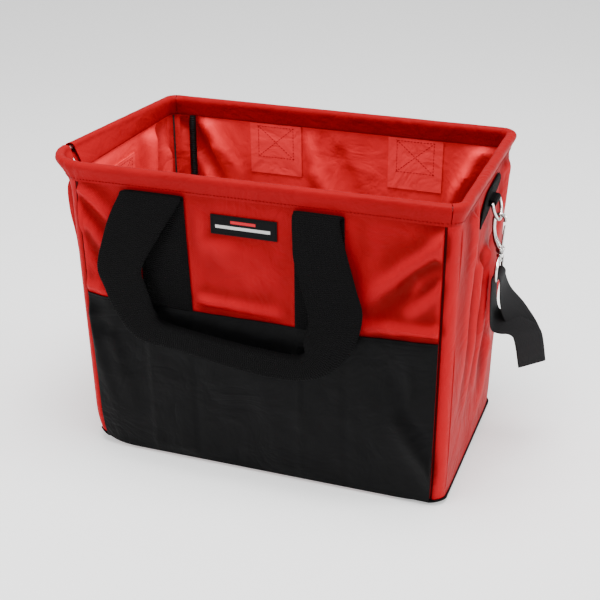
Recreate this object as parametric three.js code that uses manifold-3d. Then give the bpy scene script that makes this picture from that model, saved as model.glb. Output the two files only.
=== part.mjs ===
// Open top tool tote: a red nylon box on a steel wire rim, with black lower panels, webbing handles,
// D-rings on both sides, a snap hook and a short strap. Millimetres, +Z up, front towards -Y, origin on
// the ground under the middle of the bottom.
import * as THREE from "three";
import { mergeVertices } from "three/addons/utils/BufferGeometryUtils.js";
import Module from "manifold-3d";

const wasm = await Module();
wasm.setup();

// Box: outer size at the rim, size at the foot, and the cloth
const rimWidth = 400;
const rimDepth = 243;
const rimHeight = 324;
const footWidth = 392;
const footDepth = 229;
const edgeRadius = 12;
const clothThickness = 2;
const clearance = 0.3;
const baseThickness = 3;
const baseLip = 3.2;
const bellyDepth = 3;
const foldDepth = 8;
const sewnFade = 14;
const gridStep = 29;
const gridSlack = 0.2;
const cornerSteps = 4;
const edgeColumn = 0.88;

// Wire rim and the hem sewn round it
const rodRadius = 3;
const rodSides = 8;
const rimBend = 40;
const rimKnee = 0.6;
const hemHeight = 16;
const hemPly = 1.8;
const windowLength = 17;

// Upright posts in the corners
const postRadius = 4;
const postInset = 27;
const postSides = 10;

// Black lower panels and the label
const panelShare = 0.565;
const panelTop = Math.round(panelShare * rimHeight);
const panelThickness = 1.5;
const labelWidth = 69;
const labelHeight = 20;
const labelCentre = -9;
const labelDrop = 32;
const labelTop = rimHeight - labelDrop;
const labelThickness = 1;

// Handles, in black webbing
const webbing = 50;
const webbingThickness = 2;
const stripDrop = 21;
const stripTop = rimHeight - stripDrop;
const leftStripCentre = -96.5;
const rightStripCentre = 68;
const handleDrop = 150;
const gripStandOff = 18;
const gripThickness = 9;
const foldTuck = 2;

// Reinforcement patches inside
const patchWidth = 62;
const patchDrop = 77;
const patchBottom = rimHeight - patchDrop;
const patchThickness = 1;
const sidePatchHeight = 34;
const sidePatchDrop = 34;
const sidePatchTop = rimHeight - sidePatchDrop;

// D-rings and their tabs
const ringWire = 1.7;
const ringWidth = 32;
const ringDrop = 20;
const ringCorner = 2.2;
const bowSteps = 10;
const wireSides = 8;
const ringCentre = 8;
const ringBarDrop = 34;
const ringBarHeight = rimHeight - ringBarDrop;
const ringStandOff = 6;
const pulledTilt = 16;
const tabLength = 92;
const tabHeight = 24;
const tabThickness = 2;
const tabLoopLength = 24;
const tabLoopWall = 1.6;

// Snap hook, hanging on the right D-ring
const hookWire = 2;
const noseRadius = 5.6;
const hookLength = 32;
const knuckleRadius = 4.4;
const knuckleThickness = 6;
const rivetRadius = 1.2;
const gateWire = 1.3;
const gateEye = 2.4;
const swivelLength = 9;
const swivelRadius = 2.6;
const swivelPost = 1.6;
const swivelFoot = 1.6;
const rivetHead = 2.3;
const rivetHeadHeight = 0.8;
const eyeWire = 1.8;
const eyeDrop = 22;
const collarRadius = 3.5;
const collarHeight = 4;
const roundSides = 12;

// Short strap through the hook's eye
const strapWidth = 30;
const strapThickness = 1.8;
const strapDrop = 96;

const gap = clothThickness / 2 + clearance;
const wallFoot = baseThickness + clearance;
const hemBottom = rimHeight - hemHeight;
const flareStart = labelTop;

// Sides in order round the box, seen from above: each has the way it runs and the way it faces
const sides = {
  front: { run: [1, 0], face: [0, -1] },
  right: { run: [0, 1], face: [1, 0] },
  back: { run: [-1, 0], face: [0, 1] },
  left: { run: [0, -1], face: [-1, 0] },
};
const sideNames = Object.keys(sides);

// Corners of the wire rim. wide and deep are shares of the half width and half depth, bend of rimBend.
// The front left corner is pushed out and bent wide.
const rimCorners = {
  front: { wide: -1.11, deep: -1.02, bend: 1.05 },
  right: { wide: 1.01, deep: -0.98, bend: 0.4 },
  back: { wide: 1.01, deep: 0.98, bend: 0.3 },
  left: { wide: -0.99, deep: 0.99, bend: 0.25 },
};

// Windows where the hem is open and the wire shows: at is where along a side, in shares of its half
// length; open is the window's length, in shares of windowLength
const rimWindows = [
  { side: "left", at: 0.76, open: 1 },
  { side: "back", at: 0.955, open: 0.3 },
  { side: "front", at: 0.965, open: 0.24 },
  { side: "right", at: 0.93, open: 0.24 },
];

// Folds in the walls. along0, along1: shares of a side's half length, in the way the side runs;
// rise0, rise1: shares of the rim height; width: share of the rim height; depth: share of foldDepth,
// out if positive.
const folds = [
  { side: "front", along0: -0.98, rise0: 0.95, along1: -0.68, rise1: 0.6, width: 0.035, depth: 0.8 },
  { side: "front", along0: -0.99, rise0: 0.86, along1: -0.8, rise1: 0.5, width: 0.03, depth: 0.7 },
  { side: "front", along0: -0.9, rise0: 0.9, along1: -0.84, rise1: 0.58, width: 0.04, depth: -0.8 },
  { side: "front", along0: -0.94, rise0: 0.55, along1: -0.72, rise1: 0.05, width: 0.05, depth: 0.6 },
  { side: "front", along0: -0.75, rise0: 0.48, along1: -0.42, rise1: 0.12, width: 0.045, depth: -0.7 },
  { side: "front", along0: -0.35, rise0: 0.61, along1: 0.25, rise1: 0.59, width: 0.025, depth: -0.35 },
  { side: "front", along0: 0.97, rise0: 0.92, along1: 0.6, rise1: 0.68, width: 0.04, depth: 0.7 },
  { side: "front", along0: 0.95, rise0: 0.8, along1: 0.62, rise1: 0.6, width: 0.04, depth: -0.6 },
  { side: "front", along0: 0.85, rise0: 0.12, along1: 0.62, rise1: 0.4, width: 0.05, depth: 0.5 },
  { side: "front", along0: 0.9, rise0: 0.3, along1: 0.75, rise1: 0.52, width: 0.04, depth: -0.6 },
  { side: "right", along0: 0.8, rise0: 0.95, along1: 0.2, rise1: 0.12, width: 0.07, depth: 1.1 },
  { side: "right", along0: -0.62, rise0: 0.92, along1: -0.72, rise1: 0.3, width: 0.035, depth: 0.8 },
  { side: "right", along0: -0.3, rise0: 0.72, along1: -0.45, rise1: 0.1, width: 0.05, depth: -0.9 },
  { side: "right", along0: 0.05, rise0: 0.7, along1: -0.1, rise1: 0.15, width: 0.04, depth: 0.6 },
  { side: "back", along0: -0.97, rise0: 0.95, along1: -0.55, rise1: 0.6, width: 0.045, depth: -0.9 },
  { side: "back", along0: 0.97, rise0: 0.93, along1: 0.62, rise1: 0.62, width: 0.04, depth: -0.8 },
  { side: "back", along0: 0.9, rise0: 0.75, along1: 0.55, rise1: 0.45, width: 0.04, depth: 0.7 },
  { side: "back", along0: -0.8, rise0: 0.1, along1: -0.5, rise1: 0.5, width: 0.05, depth: 0.6 },
  { side: "left", along0: 0.92, rise0: 0.9, along1: 0.5, rise1: 0.45, width: 0.05, depth: 0.7 },
  { side: "left", along0: -0.5, rise0: 0.9, along1: -0.35, rise1: 0.2, width: 0.05, depth: -0.8 },
  { side: "left", along0: 0.1, rise0: 0.7, along1: 0.25, rise1: 0.12, width: 0.045, depth: 0.6 },
];

// Section of the hem, from the foot of its outer face over the wire and down to its inner edge.
// out: share of the sleeve's radius; rise: share of the hem height, from the wire's centre
const hemSection = [
  { out: 0.22, rise: -1 },
  { out: 0.5, rise: -0.6 },
  { out: 1, rise: -0.12 },
  { out: 0.9, rise: 0.18 },
  { out: 0.42, rise: 0.3 },
  { out: -0.18, rise: 0.32 },
  { out: -0.72, rise: 0.25 },
  { out: -1, rise: 0.02 },
  { out: -0.85, rise: -0.5 },
  { out: -0.6, rise: -1 },
  { out: -0.24, rise: -1.07 },
];

// Sewn pieces, which hold the wall flat under them: side, from and to along it, bottom and top
const handleZones = [leftStripCentre, rightStripCentre].map((centre) => ({ centre, width: patchWidth }));
const sewnZones = [
  ...["front", "back"].flatMap((side) => handleZones.map(({ centre, width }) => ({
    side, from: centre - width / 2, to: centre + width / 2, bottom: panelTop, top: rimHeight,
  }))),
  ...["right", "left"].map((side) => ({
    side, from: ringCentre - tabLength / 2, to: ringCentre + tabLength / 2,
    bottom: patchBottom, top: rimHeight,
  })),
  {
    side: "front", from: labelCentre - labelWidth / 2, to: labelCentre + labelWidth / 2,
    bottom: labelTop - labelHeight, top: labelTop,
  },
];

const smooth = (t) => {
  const c = Math.min(1, Math.max(0, t));
  return c * c * (3 - 2 * c);
};

// Half length and half distance of a side of the plain box at a height
function boxHalves(side, z) {
  const rise = z / rimHeight;
  const halfWidth = (footWidth + (rimWidth - footWidth) * rise) / 2;
  const halfDepth = (footDepth + (rimDepth - footDepth) * rise) / 2;
  const facesY = side === "front" || side === "back";
  return facesY ? [halfWidth, halfDepth] : [halfDepth, halfWidth];
}

// How far a fold or the belly moves the wall out at a place on a side. It is still at the corner seams,
// along the post at the end of the side's run, at the foot and at the hem.
function wallRelief(side, along, z) {
  const [half] = boxHalves(side, z);
  const share = along / half;
  const rise = z / rimHeight;
  let relief = 0;
  for (const fold of folds.filter((row) => row.side === side)) {
    const dx = (fold.along1 - fold.along0) * half;
    const dz = (fold.rise1 - fold.rise0) * rimHeight;
    const px = (share - fold.along0) * half;
    const pz = (rise - fold.rise0) * rimHeight;
    const t = Math.min(1, Math.max(0, (px * dx + pz * dz) / (dx * dx + dz * dz)));
    const away = Math.hypot(px - t * dx, pz - t * dz) / (fold.width * rimHeight);
    relief += foldDepth * fold.depth * Math.exp(-away * away);
  }
  for (const zone of sewnZones.filter((row) => row.side === side)) {
    const outside = Math.max(zone.from - along, along - zone.to, zone.bottom - z, z - zone.top);
    relief *= smooth(outside / sewnFade);
  }
  const room = along > 0 ? half - postInset - 2 * postRadius - along : half + along;
  const nearEdge = smooth(room / sewnFade);
  const nearFoot = smooth((z - wallFoot) / sewnFade / 2);
  const nearHem = smooth((hemBottom - z) / sewnFade / 2);
  const belly = bellyDepth * Math.max(0, 1 - share * share) * Math.sin(Math.PI * Math.min(1, rise));
  return relief * nearEdge * nearFoot * nearHem + belly * nearFoot * nearHem;
}

// Ends of the straight stretch of the rim along a side, and the corner arcs' centres
function rimArc(corner) {
  const { wide, deep, bend } = rimCorners[corner];
  const radius = bend * rimBend;
  const x = (wide * rimWidth) / 2;
  const y = (deep * rimDepth) / 2;
  return { radius, centre: [x - Math.sign(x) * radius, y - Math.sign(y) * radius] };
}

function arcPoint(centre, radius, face) {
  return [centre[0] + radius * face[0], centre[1] + radius * face[1]];
}

// The rim above a place on a side: straight up, except near the ends, where the corner arcs start early
function rimOnSide(side, along) {
  const next = sideNames[(sideNames.indexOf(side) + 1) % 4];
  const { run, face } = sides[side];
  const [from, to] = [rimArc(side), rimArc(next)].map((arc) => arcPoint(arc.centre, arc.radius, face));
  const start = from[0] * run[0] + from[1] * run[1];
  const end = to[0] * run[0] + to[1] * run[1];
  const straight = boxHalves(side, rimHeight)[0] - edgeRadius;
  const knee = rimKnee * straight;
  const past = Math.max(0, Math.abs(along) - knee) / (straight - knee);
  const reach = along < 0 ? start : end;
  const kept = Math.max(-knee, Math.min(knee, along));
  const above = kept + (reach - kept) * past;
  const t = (above - start) / (end - start);
  return [from[0] + (to[0] - from[0]) * t, from[1] + (to[1] - from[1]) * t];
}

// A point of a wall: offset is measured out from the middle of the cloth
function wallPoint(column, z, offset, plain = false) {
  const flare = Math.max(0, Math.min(1, (z - flareStart) / (rimHeight - flareStart))) ** 2;
  let box;
  let rim;
  let { face } = column;
  if (column.corner) {
    const [half, away] = boxHalves(column.side, z);
    const { run, face: ahead } = sides[column.side];
    const centre = [0, 1].map((i) => -run[i] * (half - edgeRadius) + ahead[i] * (away - edgeRadius));
    const arc = rimArc(column.side);
    box = arcPoint(centre, edgeRadius, face);
    rim = arcPoint(arc.centre, arc.radius, face);
  } else {
    face = sides[column.side].face;
    const { run } = sides[column.side];
    const [half, away] = boxHalves(column.side, z);
    const along = (column.along * half) / boxHalves(column.side, rimHeight)[0];
    const out = away + (plain ? 0 : wallRelief(column.side, along, z));
    box = [0, 1].map((i) => run[i] * along + face[i] * out);
    rim = rimOnSide(column.side, column.along);
  }
  const place = [0, 1].map((i) => box[i] + (rim[i] - box[i]) * flare + face[i] * offset);
  return new THREE.Vector3(place[0], place[1], z);
}

// Stops with more between them, so that no step is longer than the grid's
function filled(stops) {
  const sorted = [...stops].sort((a, b) => a - b);
  return sorted.flatMap((stop, i) => {
    if (i === sorted.length - 1) return [stop];
    const span = sorted[i + 1] - stop;
    const steps = Math.max(1, Math.ceil(span / gridStep - gridSlack));
    return Array.from({ length: steps }, (_, k) => stop + (span * k) / steps);
  });
}

// Columns of the wall, side by side; each side starts with the arc of the corner before it
const longSideStops = [leftStripCentre, rightStripCentre].flatMap((centre) => [
  centre - patchWidth / 2, centre - webbing / 2, centre, centre + webbing / 2, centre + patchWidth / 2,
]);
const shortSideStops = [ringCentre - patchWidth / 2, ringCentre + patchWidth / 2];
const labelEdges = [labelCentre - labelWidth / 2, labelCentre + labelWidth / 2];
const straightHalf = (side) => boxHalves(side, rimHeight)[0] - edgeRadius;

function sideColumns(side) {
  const long = side === "front" || side === "back";
  const edge = straightHalf(side) * edgeColumn;
  const stops = long ? [...longSideStops, ...labelEdges, -edge, edge] : [...shortSideStops, -edge, edge];
  return filled(stops).map((along) => ({ side, along }));
}

function cornerColumns(side) {
  const before = sides[sideNames[(sideNames.indexOf(side) + 3) % 4]].face;
  const after = sides[side].face;
  return Array.from({ length: cornerSteps + 1 }, (_, k) => {
    const turn = (Math.PI / 2) * (k / cornerSteps);
    const face = [0, 1].map((i) => before[i] * Math.cos(turn) + after[i] * Math.sin(turn));
    return { side, corner: true, face };
  });
}

const columnsOf = Object.fromEntries(sideNames.map((side) => [side, sideColumns(side)]));
const cornersOf = Object.fromEntries(sideNames.map((side) => [side, cornerColumns(side)]));
const allColumns = sideNames.flatMap((side) => [...cornersOf[side], ...columnsOf[side]]);
const wallRows = filled([wallFoot, panelTop, patchBottom, labelTop - labelHeight, labelTop, stripTop]);

// A closed body from sections of equal count; a ring of sections closes on itself, a row gets two caps.
// A sheet's section goes up one face and down the other, so the second half of its cells is split along
// the other diagonal: the two faces then stay parallel in a fold.
function loft(sections, ring) {
  const count = sections[0].length;
  const index = [];
  const at = (i, k) => (i % sections.length) * count + (k % count);
  const spans = ring ? sections.length : sections.length - 1;
  for (let i = 0; i < spans; i += 1) {
    for (let k = 0; k < count; k += 1) {
      const [a, b, c, d] = [at(i, k), at(i + 1, k), at(i + 1, k + 1), at(i, k + 1)];
      if (k < count / 2) index.push(a, b, c, a, c, d);
      else index.push(a, b, d, b, c, d);
    }
  }
  if (!ring) {
    const last = sections.length - 1;
    for (let k = 0; k < count / 2 - 1; k += 1) {
      const [a, b, c, d] = [k, k + 1, count - 2 - k, count - 1 - k];
      index.push(at(0, a), at(0, b), at(0, c), at(0, a), at(0, c), at(0, d));
      index.push(at(last, a), at(last, c), at(last, b), at(last, a), at(last, d), at(last, c));
    }
  }
  return facingOut(sections.flat(), index);
}

// Geometry from points and triangles, turned so that its faces point out
function facingOut(points, index) {
  let volume = 0;
  for (let i = 0; i < index.length; i += 3) {
    const [a, b, c] = [points[index[i]], points[index[i + 1]], points[index[i + 2]]];
    volume += a.dot(new THREE.Vector3().crossVectors(b, c));
  }
  const faces = volume > 0 ? index : index.map((_, i) => index[i - (i % 3) + 2 - (i % 3)]);
  const geometry = new THREE.BufferGeometry().setFromPoints(points);
  geometry.setIndex(faces);
  return geometry;
}

function toSolid(geometry) {
  const bare = new THREE.BufferGeometry();
  bare.setAttribute("position", geometry.getAttribute("position"));
  bare.setIndex(geometry.getIndex());
  const merged = mergeVertices(bare, 1e-4);
  return new wasm.Manifold(new wasm.Mesh({
    numProp: 3,
    vertProperties: new Float32Array(merged.getAttribute("position").array),
    triVerts: new Uint32Array(merged.getIndex().array),
  }));
}

function toGeometry(solid) {
  const mesh = solid.getMesh();
  const geometry = new THREE.BufferGeometry();
  geometry.setAttribute("position", new THREE.BufferAttribute(new Float32Array(mesh.vertProperties), 3));
  geometry.setIndex(Array.from(mesh.triVerts));
  return geometry;
}

const joined = (shapes) => toGeometry(shapes.map(toSolid).reduce((a, b) => a.add(b)));

// A sheet sewn on a wall, between two offsets from the middle of the cloth
function sheetOnWall(columns, rows, inner, outer) {
  return loft(columns.map((column) => [
    ...rows.map((z) => wallPoint(column, z, inner)),
    ...[...rows].reverse().map((z) => wallPoint(column, z, outer)),
  ]), false);
}

const between = (rows, bottom, top) => [
  bottom, ...rows.filter((z) => z > bottom + clearance && z < top - clearance), top,
];

// A round wire or tunnel along the rim
function rimHoop(radius) {
  const path = sideNames.flatMap((side) => cornersOf[side]);
  return loft(path.map((column) => Array.from({ length: rodSides }, (_, k) => {
    const turn = (2 * Math.PI * (k + 0.5)) / rodSides;
    return wallPoint(column, rimHeight, radius * Math.cos(turn)).setZ(rimHeight + radius * Math.sin(turn));
  })), true);
}

// The red cloth: four walls and the hem in one body, with the wire's tunnel and its windows cut out
function bagWalls() {
  const half = clothThickness / 2;
  const sleeve = rodRadius + clearance + hemPly;
  const walls = loft(allColumns.map((column) => [
    ...wallRows.map((z) => wallPoint(column, z, half)),
    ...hemSection.map(({ out, rise }) => wallPoint(column, rimHeight + rise * hemHeight, out * sleeve)),
    ...[...wallRows].reverse().map((z) => wallPoint(column, z, -half)),
  ]), true);
  let solid = toSolid(walls).subtract(toSolid(rimHoop(rodRadius + clearance)));
  for (const { side, at, open } of rimWindows) {
    const along = at * boxHalves(side, rimHeight)[0];
    const [x, y] = rimOnSide(side, along);
    const across = 6 * sleeve;
    const { run } = sides[side];
    const size = run.map((r) => (r === 0 ? across : open * windowLength));
    const box = new THREE.BoxGeometry(size[0], size[1], 3 * sleeve);
    box.translate(x, y, rimHeight + sleeve / 2);
    solid = solid.subtract(toSolid(box));
  }
  return toGeometry(solid);
}

// The black bottom, a flat plate under the walls and panels
function basePanel() {
  const halfX = footWidth / 2 + baseLip;
  const halfY = footDepth / 2 + baseLip;
  const r = edgeRadius + baseLip;
  const outline = new THREE.Shape();
  outline.moveTo(-halfX + r, -halfY);
  outline.lineTo(halfX - r, -halfY);
  outline.absarc(halfX - r, -halfY + r, r, -Math.PI / 2, 0);
  outline.absarc(halfX - r, halfY - r, r, 0, Math.PI / 2);
  outline.absarc(-halfX + r, halfY - r, r, Math.PI / 2, Math.PI);
  outline.absarc(-halfX + r, -halfY + r, r, Math.PI, 1.5 * Math.PI);
  return new THREE.ExtrudeGeometry(outline, {
    depth: baseThickness, bevelEnabled: false, curveSegments: 5,
  });
}

// A post stands inside one wall, near the end of its run, and leans as far out as the wall lets it
function cornerPost(side) {
  const inset = straightHalf(side) + edgeRadius - postInset;
  const offset = -(gap + postRadius);
  const [foot, middle, top] = [wallFoot, flareStart, hemBottom].map((z) => (
    wallPoint({ side, along: inset }, z, offset, true)
  ));
  const face = new THREE.Vector3(...sides[side].face, 0);
  const lean = Math.min(...[middle, top].map((p) => p.clone().sub(foot).dot(face) / (p.z - foot.z)));
  const way = new THREE.Vector3(0, 0, 1).addScaledVector(face, lean).normalize();
  const length = (hemBottom - wallFoot - clearance * 4) / way.z;
  const post = new THREE.CylinderGeometry(postRadius, postRadius, length, postSides);
  post.rotateX(Math.PI / 2);
  const centre = foot.clone().addScaledVector(way, length / 2 + clearance);
  return { post, centre, way };
}

function panelSheet(side) {
  const next = sideNames[(sideNames.indexOf(side) + 1) % 4];
  const columns = [cornersOf[side][cornerSteps], ...columnsOf[side], cornersOf[next][0]];
  return sheetOnWall(columns, between(wallRows, wallFoot, panelTop), gap, gap + panelThickness);
}

function label() {
  const [from, to] = labelEdges;
  const columns = columnsOf.front.filter(({ along }) => along > from - clearance && along < to + clearance);
  const rows = between(wallRows, labelTop - labelHeight, labelTop);
  return sheetOnWall(columns, rows, gap, gap + labelThickness);
}

// Free part of a handle, from a strip's top over the fold, down the leg and into the grip.
// edge and inner are the webbing's outer and inner edge, across from the strip's centre in shares of
// the webbing's width, and down from the strip's top in shares of handleDrop; out is the stand-off and
// thick the thickness, in shares of gripStandOff and gripThickness.
const leftLeg = [
  { edge: -0.66, edgeDown: 0.0, inner: 0.46, innerDown: -0.01, out: 0.38, thick: 0.3 },
  { edge: -0.83, edgeDown: 0.03, inner: 0.36, innerDown: 0.02, out: 0.5, thick: 0.24 },
  { edge: -1.12, edgeDown: 0.28, inner: 0.0, innerDown: 0.26, out: 0.62, thick: 0.22 },
  { edge: -1.42, edgeDown: 0.55, inner: -0.4, innerDown: 0.5, out: 0.8, thick: 0.22 },
  { edge: -1.34, edgeDown: 0.7, inner: -0.34, innerDown: 0.62, out: 0.84, thick: 0.24 },
  { edge: -1.2, edgeDown: 0.84, inner: -0.24, innerDown: 0.72, out: 0.9, thick: 0.3 },
  { edge: -0.9, edgeDown: 0.99, inner: -0.14, innerDown: 0.8, out: 0.96, thick: 0.5 },
  { edge: -0.5, edgeDown: 1.05, inner: -0.02, innerDown: 0.86, out: 1, thick: 0.85 },
];
const rightLeg = [
  { edge: 0.45, edgeDown: -0.02, inner: -0.5, innerDown: -0.02, out: 0.38, thick: 0.3 },
  { edge: 0.42, edgeDown: 0.02, inner: -0.54, innerDown: 0.02, out: 0.5, thick: 0.24 },
  { edge: 0.64, edgeDown: 0.25, inner: -0.46, innerDown: 0.3, out: 0.62, thick: 0.22 },
  { edge: 0.82, edgeDown: 0.44, inner: -0.28, innerDown: 0.5, out: 0.76, thick: 0.22 },
  { edge: 0.96, edgeDown: 0.6, inner: -0.14, innerDown: 0.68, out: 0.86, thick: 0.26 },
  { edge: 0.86, edgeDown: 0.8, inner: -0.2, innerDown: 0.8, out: 1.0, thick: 0.5 },
  { edge: 0.62, edgeDown: 0.94, inner: -0.22, innerDown: 0.86, out: 1.1, thick: 0.7 },
  { edge: 0.2, edgeDown: 1.08, inner: -0.2, innerDown: 0.92, out: 1.06, thick: 0.85 },
];
const gripRows = [
  { at: 0.12, top: 0.89, bottom: 1.07, out: 1 },
  { at: 0.4, top: 0.93, bottom: 1.12, out: 1.02 },
  { at: 0.62, top: 0.95, bottom: 1.15, out: 1.03 },
  { at: 0.86, top: 0.96, bottom: 1.15, out: 1.02 },
];

function handleSection(side, outerAcross, outerDown, innerAcross, innerDown, out, thick) {
  const place = (across, down, off) => {
    const z = stripTop - down * handleDrop;
    const flat = wallPoint({ side, along: across }, Math.min(z, flareStart), off, true);
    return flat.setZ(z);
  };
  const middle = out * gripStandOff;
  const half = (thick * gripThickness) / 2;
  const across = (outerAcross + innerAcross) / 2;
  const down = (outerDown + innerDown) / 2;
  return [
    place(outerAcross, outerDown, middle - half),
    place(across, down, middle - half),
    place(innerAcross, innerDown, middle - half),
    place(innerAcross, innerDown, middle + half),
    place(across, down, middle + half),
    place(outerAcross, outerDown, middle + half),
  ];
}

function handle(side) {
  const reach = webbing / 2 + clearance;
  const strips = [leftStripCentre, rightStripCentre].map((centre) => {
    const columns = columnsOf[side].filter(({ along }) => Math.abs(along - centre) < reach);
    const rows = between(wallRows, panelTop + clearance, stripTop);
    return sheetOnWall(columns, rows, gap, gap + webbingThickness);
  });
  const legs = [[leftStripCentre, leftLeg], [rightStripCentre, rightLeg]].map(([centre, rows]) => (
    rows.map((row) => handleSection(
      side, centre + row.edge * webbing, row.edgeDown,
      centre + row.inner * webbing, row.innerDown, row.out, row.thick,
    ))
  ));
  const grip = gripRows.map((row) => {
    const across = leftStripCentre + row.at * (rightStripCentre - leftStripCentre);
    return handleSection(side, across, row.bottom, across, row.top, row.out, 1);
  });
  const loop = loft([...legs[0], ...grip, ...legs[1].reverse()], false);
  const turns = [[leftStripCentre, leftLeg[0]], [rightStripCentre, rightLeg[0]]].map(([centre, row]) => {
    const [from, to] = [centre + row.edge * webbing, centre + row.inner * webbing];
    const left = Math.max(Math.min(from, to), centre - webbing / 2);
    const right = Math.min(Math.max(from, to), centre + webbing / 2);
    return loft([left, right].map((along) => {
      const at = (off, z) => wallPoint({ side, along }, z, off);
      const near = gap + webbingThickness / 4;
      const far = row.out * gripStandOff;
      const top = stripTop + row.thick * gripThickness;
      const foot = stripTop - foldTuck;
      return [
        at(near, foot), at(near, top - foldTuck), at(near + foldTuck / 2, top),
        at(far, top), at(far, foot), at((near + far) / 2, foot),
      ];
    }), false);
  });
  return joined([...strips, ...turns, loop]);
}

// Patches inside, behind the handle's strips and the D-ring tabs
function patch(side, centre, width, bottom, top) {
  const columns = filled([centre - width / 2, centre + width / 2]).map((along) => ({ side, along }));
  return sheetOnWall(columns, between(wallRows, bottom, top), -gap - patchThickness, -gap);
}

// Outline of a D-ring tab's band in shares of tabLength and tabHeight, from the ring's centre and the
// band's middle: it runs low in front and high behind, on the right side of the bag
const tabOutline = [
  { along: -0.5, up: -0.6 },
  { along: -0.42, up: 0.02 },
  { along: -0.16, up: 0.5 },
  { along: 0.4, up: 0.62 },
  { along: 0.5, up: 0.36 },
  { along: 0.44, up: 0.1 },
  { along: 0.1, up: -0.22 },
  { along: -0.2, up: -0.46 },
];

// Place of a D-ring's bar: X out from the wall, Y along it and Z up it, the origin just clear of the
// outer face of the cloth under the whole tab
function sideFrame(side, z) {
  const face = clothThickness / 2;
  const onWall = (along, up) => wallPoint({ side, along: ringCentre + along }, z + up, face);
  const [behind, ahead] = [-tabLength / 2, tabLength / 2].map((along) => onWall(along, 0));
  const [low, high] = [-tabHeight / 2, tabHeight / 2].map((up) => onWall(0, up));
  const y = ahead.sub(behind).normalize();
  const x = new THREE.Vector3().crossVectors(y, high.sub(low)).normalize();
  const origin = onWall(0, 0);
  const proud = tabOutline.map(({ along, up }) => (
    onWall(along * tabLength, up * tabHeight).sub(origin).dot(x)
  ));
  origin.addScaledVector(x, Math.max(0, ...proud) + clearance * 2);
  return new THREE.Matrix4().makeBasis(x, y, new THREE.Vector3().crossVectors(x, y)).setPosition(origin);
}

// Turn a shape drawn in X and Y and raised along Z to stand in the YZ plane, raised along X
const standUp = new THREE.Matrix4().makeBasis(
  new THREE.Vector3(0, 1, 0), new THREE.Vector3(0, 0, 1), new THREE.Vector3(1, 0, 0),
);

function ringTab() {
  const band = new THREE.Shape(tabOutline.map(({ along, up }) => (
    new THREE.Vector2(along * tabLength, up * tabHeight)
  )));
  const bandSolid = new THREE.ExtrudeGeometry(band, { depth: tabThickness, bevelEnabled: false });
  bandSolid.applyMatrix4(standUp);
  const hole = ringWire + clearance;
  const loopRadius = hole + tabLoopWall;
  const profile = new THREE.Shape();
  profile.moveTo(0, loopRadius);
  profile.lineTo(0, -loopRadius);
  profile.lineTo(ringStandOff, -loopRadius);
  profile.absarc(ringStandOff, 0, loopRadius, -Math.PI / 2, Math.PI / 2, false);
  const bore = new THREE.Path().absarc(ringStandOff, 0, hole, 0, 2 * Math.PI, true);
  profile.holes.push(bore);
  const loop = new THREE.ExtrudeGeometry(profile, {
    depth: tabLoopLength, bevelEnabled: false, curveSegments: 5,
  });
  loop.rotateX(Math.PI / 2);
  loop.translate(0, tabLoopLength / 2, 0);
  return joined([bandSolid, loop]);
}

// A closed round wire along points that all lie in one plane, side is the plane's normal
function wireLoop(points, radius, side) {
  return loft(points.map((point, i) => {
    const before = points[(i + points.length - 1) % points.length];
    const after = points[(i + 1) % points.length];
    const across = new THREE.Vector3().crossVectors(after.clone().sub(before), side).normalize();
    return Array.from({ length: wireSides }, (_, k) => {
      const turn = (2 * Math.PI * k) / wireSides;
      return point.clone()
        .addScaledVector(across, radius * Math.cos(turn))
        .addScaledVector(side, radius * Math.sin(turn));
    });
  }), true);
}

const xAxis = new THREE.Vector3(1, 0, 0);

// D-ring: a straight bar through the tab's loop and a round bow below it
function dRing() {
  const half = ringWidth / 2;
  const corner = ringCorner;
  const shoulder = 2 * ringCorner;
  const bow = Array.from({ length: bowSteps + 1 }, (_, k) => {
    const turn = (Math.PI * k) / bowSteps;
    return new THREE.Vector3(0, half * Math.cos(turn), -shoulder - (ringDrop - shoulder) * Math.sin(turn));
  });
  const top = [
    [-half, -corner], [-half + corner, 0], [0, 0], [half - corner, 0], [half, -corner],
  ].map(([y, z]) => new THREE.Vector3(0, y, z));
  return wireLoop([...top, ...bow], ringWire, xAxis);
}

// The hook is drawn in its own frame: X out from the bag, Z up, origin at the middle of its nose
const noseGap = 2 * clearance;
const hookLean = 0.45;
const rivetAt = new THREE.Vector3(noseRadius * hookLean, 0, -hookLength);
const hookSteps = 22;
const swivelSink = 1;
const gateStart = 1.25;
const gateSteps = 6;
const leverShare = 0.96;

// The hook's wire: turns round its nose in shares of half a turn, then its spine, out in shares of
// noseRadius and down in shares of hookLength
const hookNose = [-0.12, 0.07, 0.25, 0.44, 0.63, 0.81, 1];
const hookSpine = [
  { out: -0.98, down: 0.38 },
  { out: -0.5, down: 0.72 },
  { out: 0.27, down: 1 },
];

function tubeAlong(points, radius, steps) {
  const path = new THREE.CatmullRomCurve3(points);
  const round = new THREE.Shape().absarc(0, 0, radius, 0, 2 * Math.PI);
  return new THREE.ExtrudeGeometry(round, {
    steps, extrudePath: path, curveSegments: 4, bevelEnabled: false,
  });
}

function rivetBore(length) {
  const radius = rivetRadius + clearance;
  const bore = new THREE.CylinderGeometry(radius, radius, length, roundSides);
  bore.translate(rivetAt.x, 0, rivetAt.z);
  return bore;
}

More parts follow.
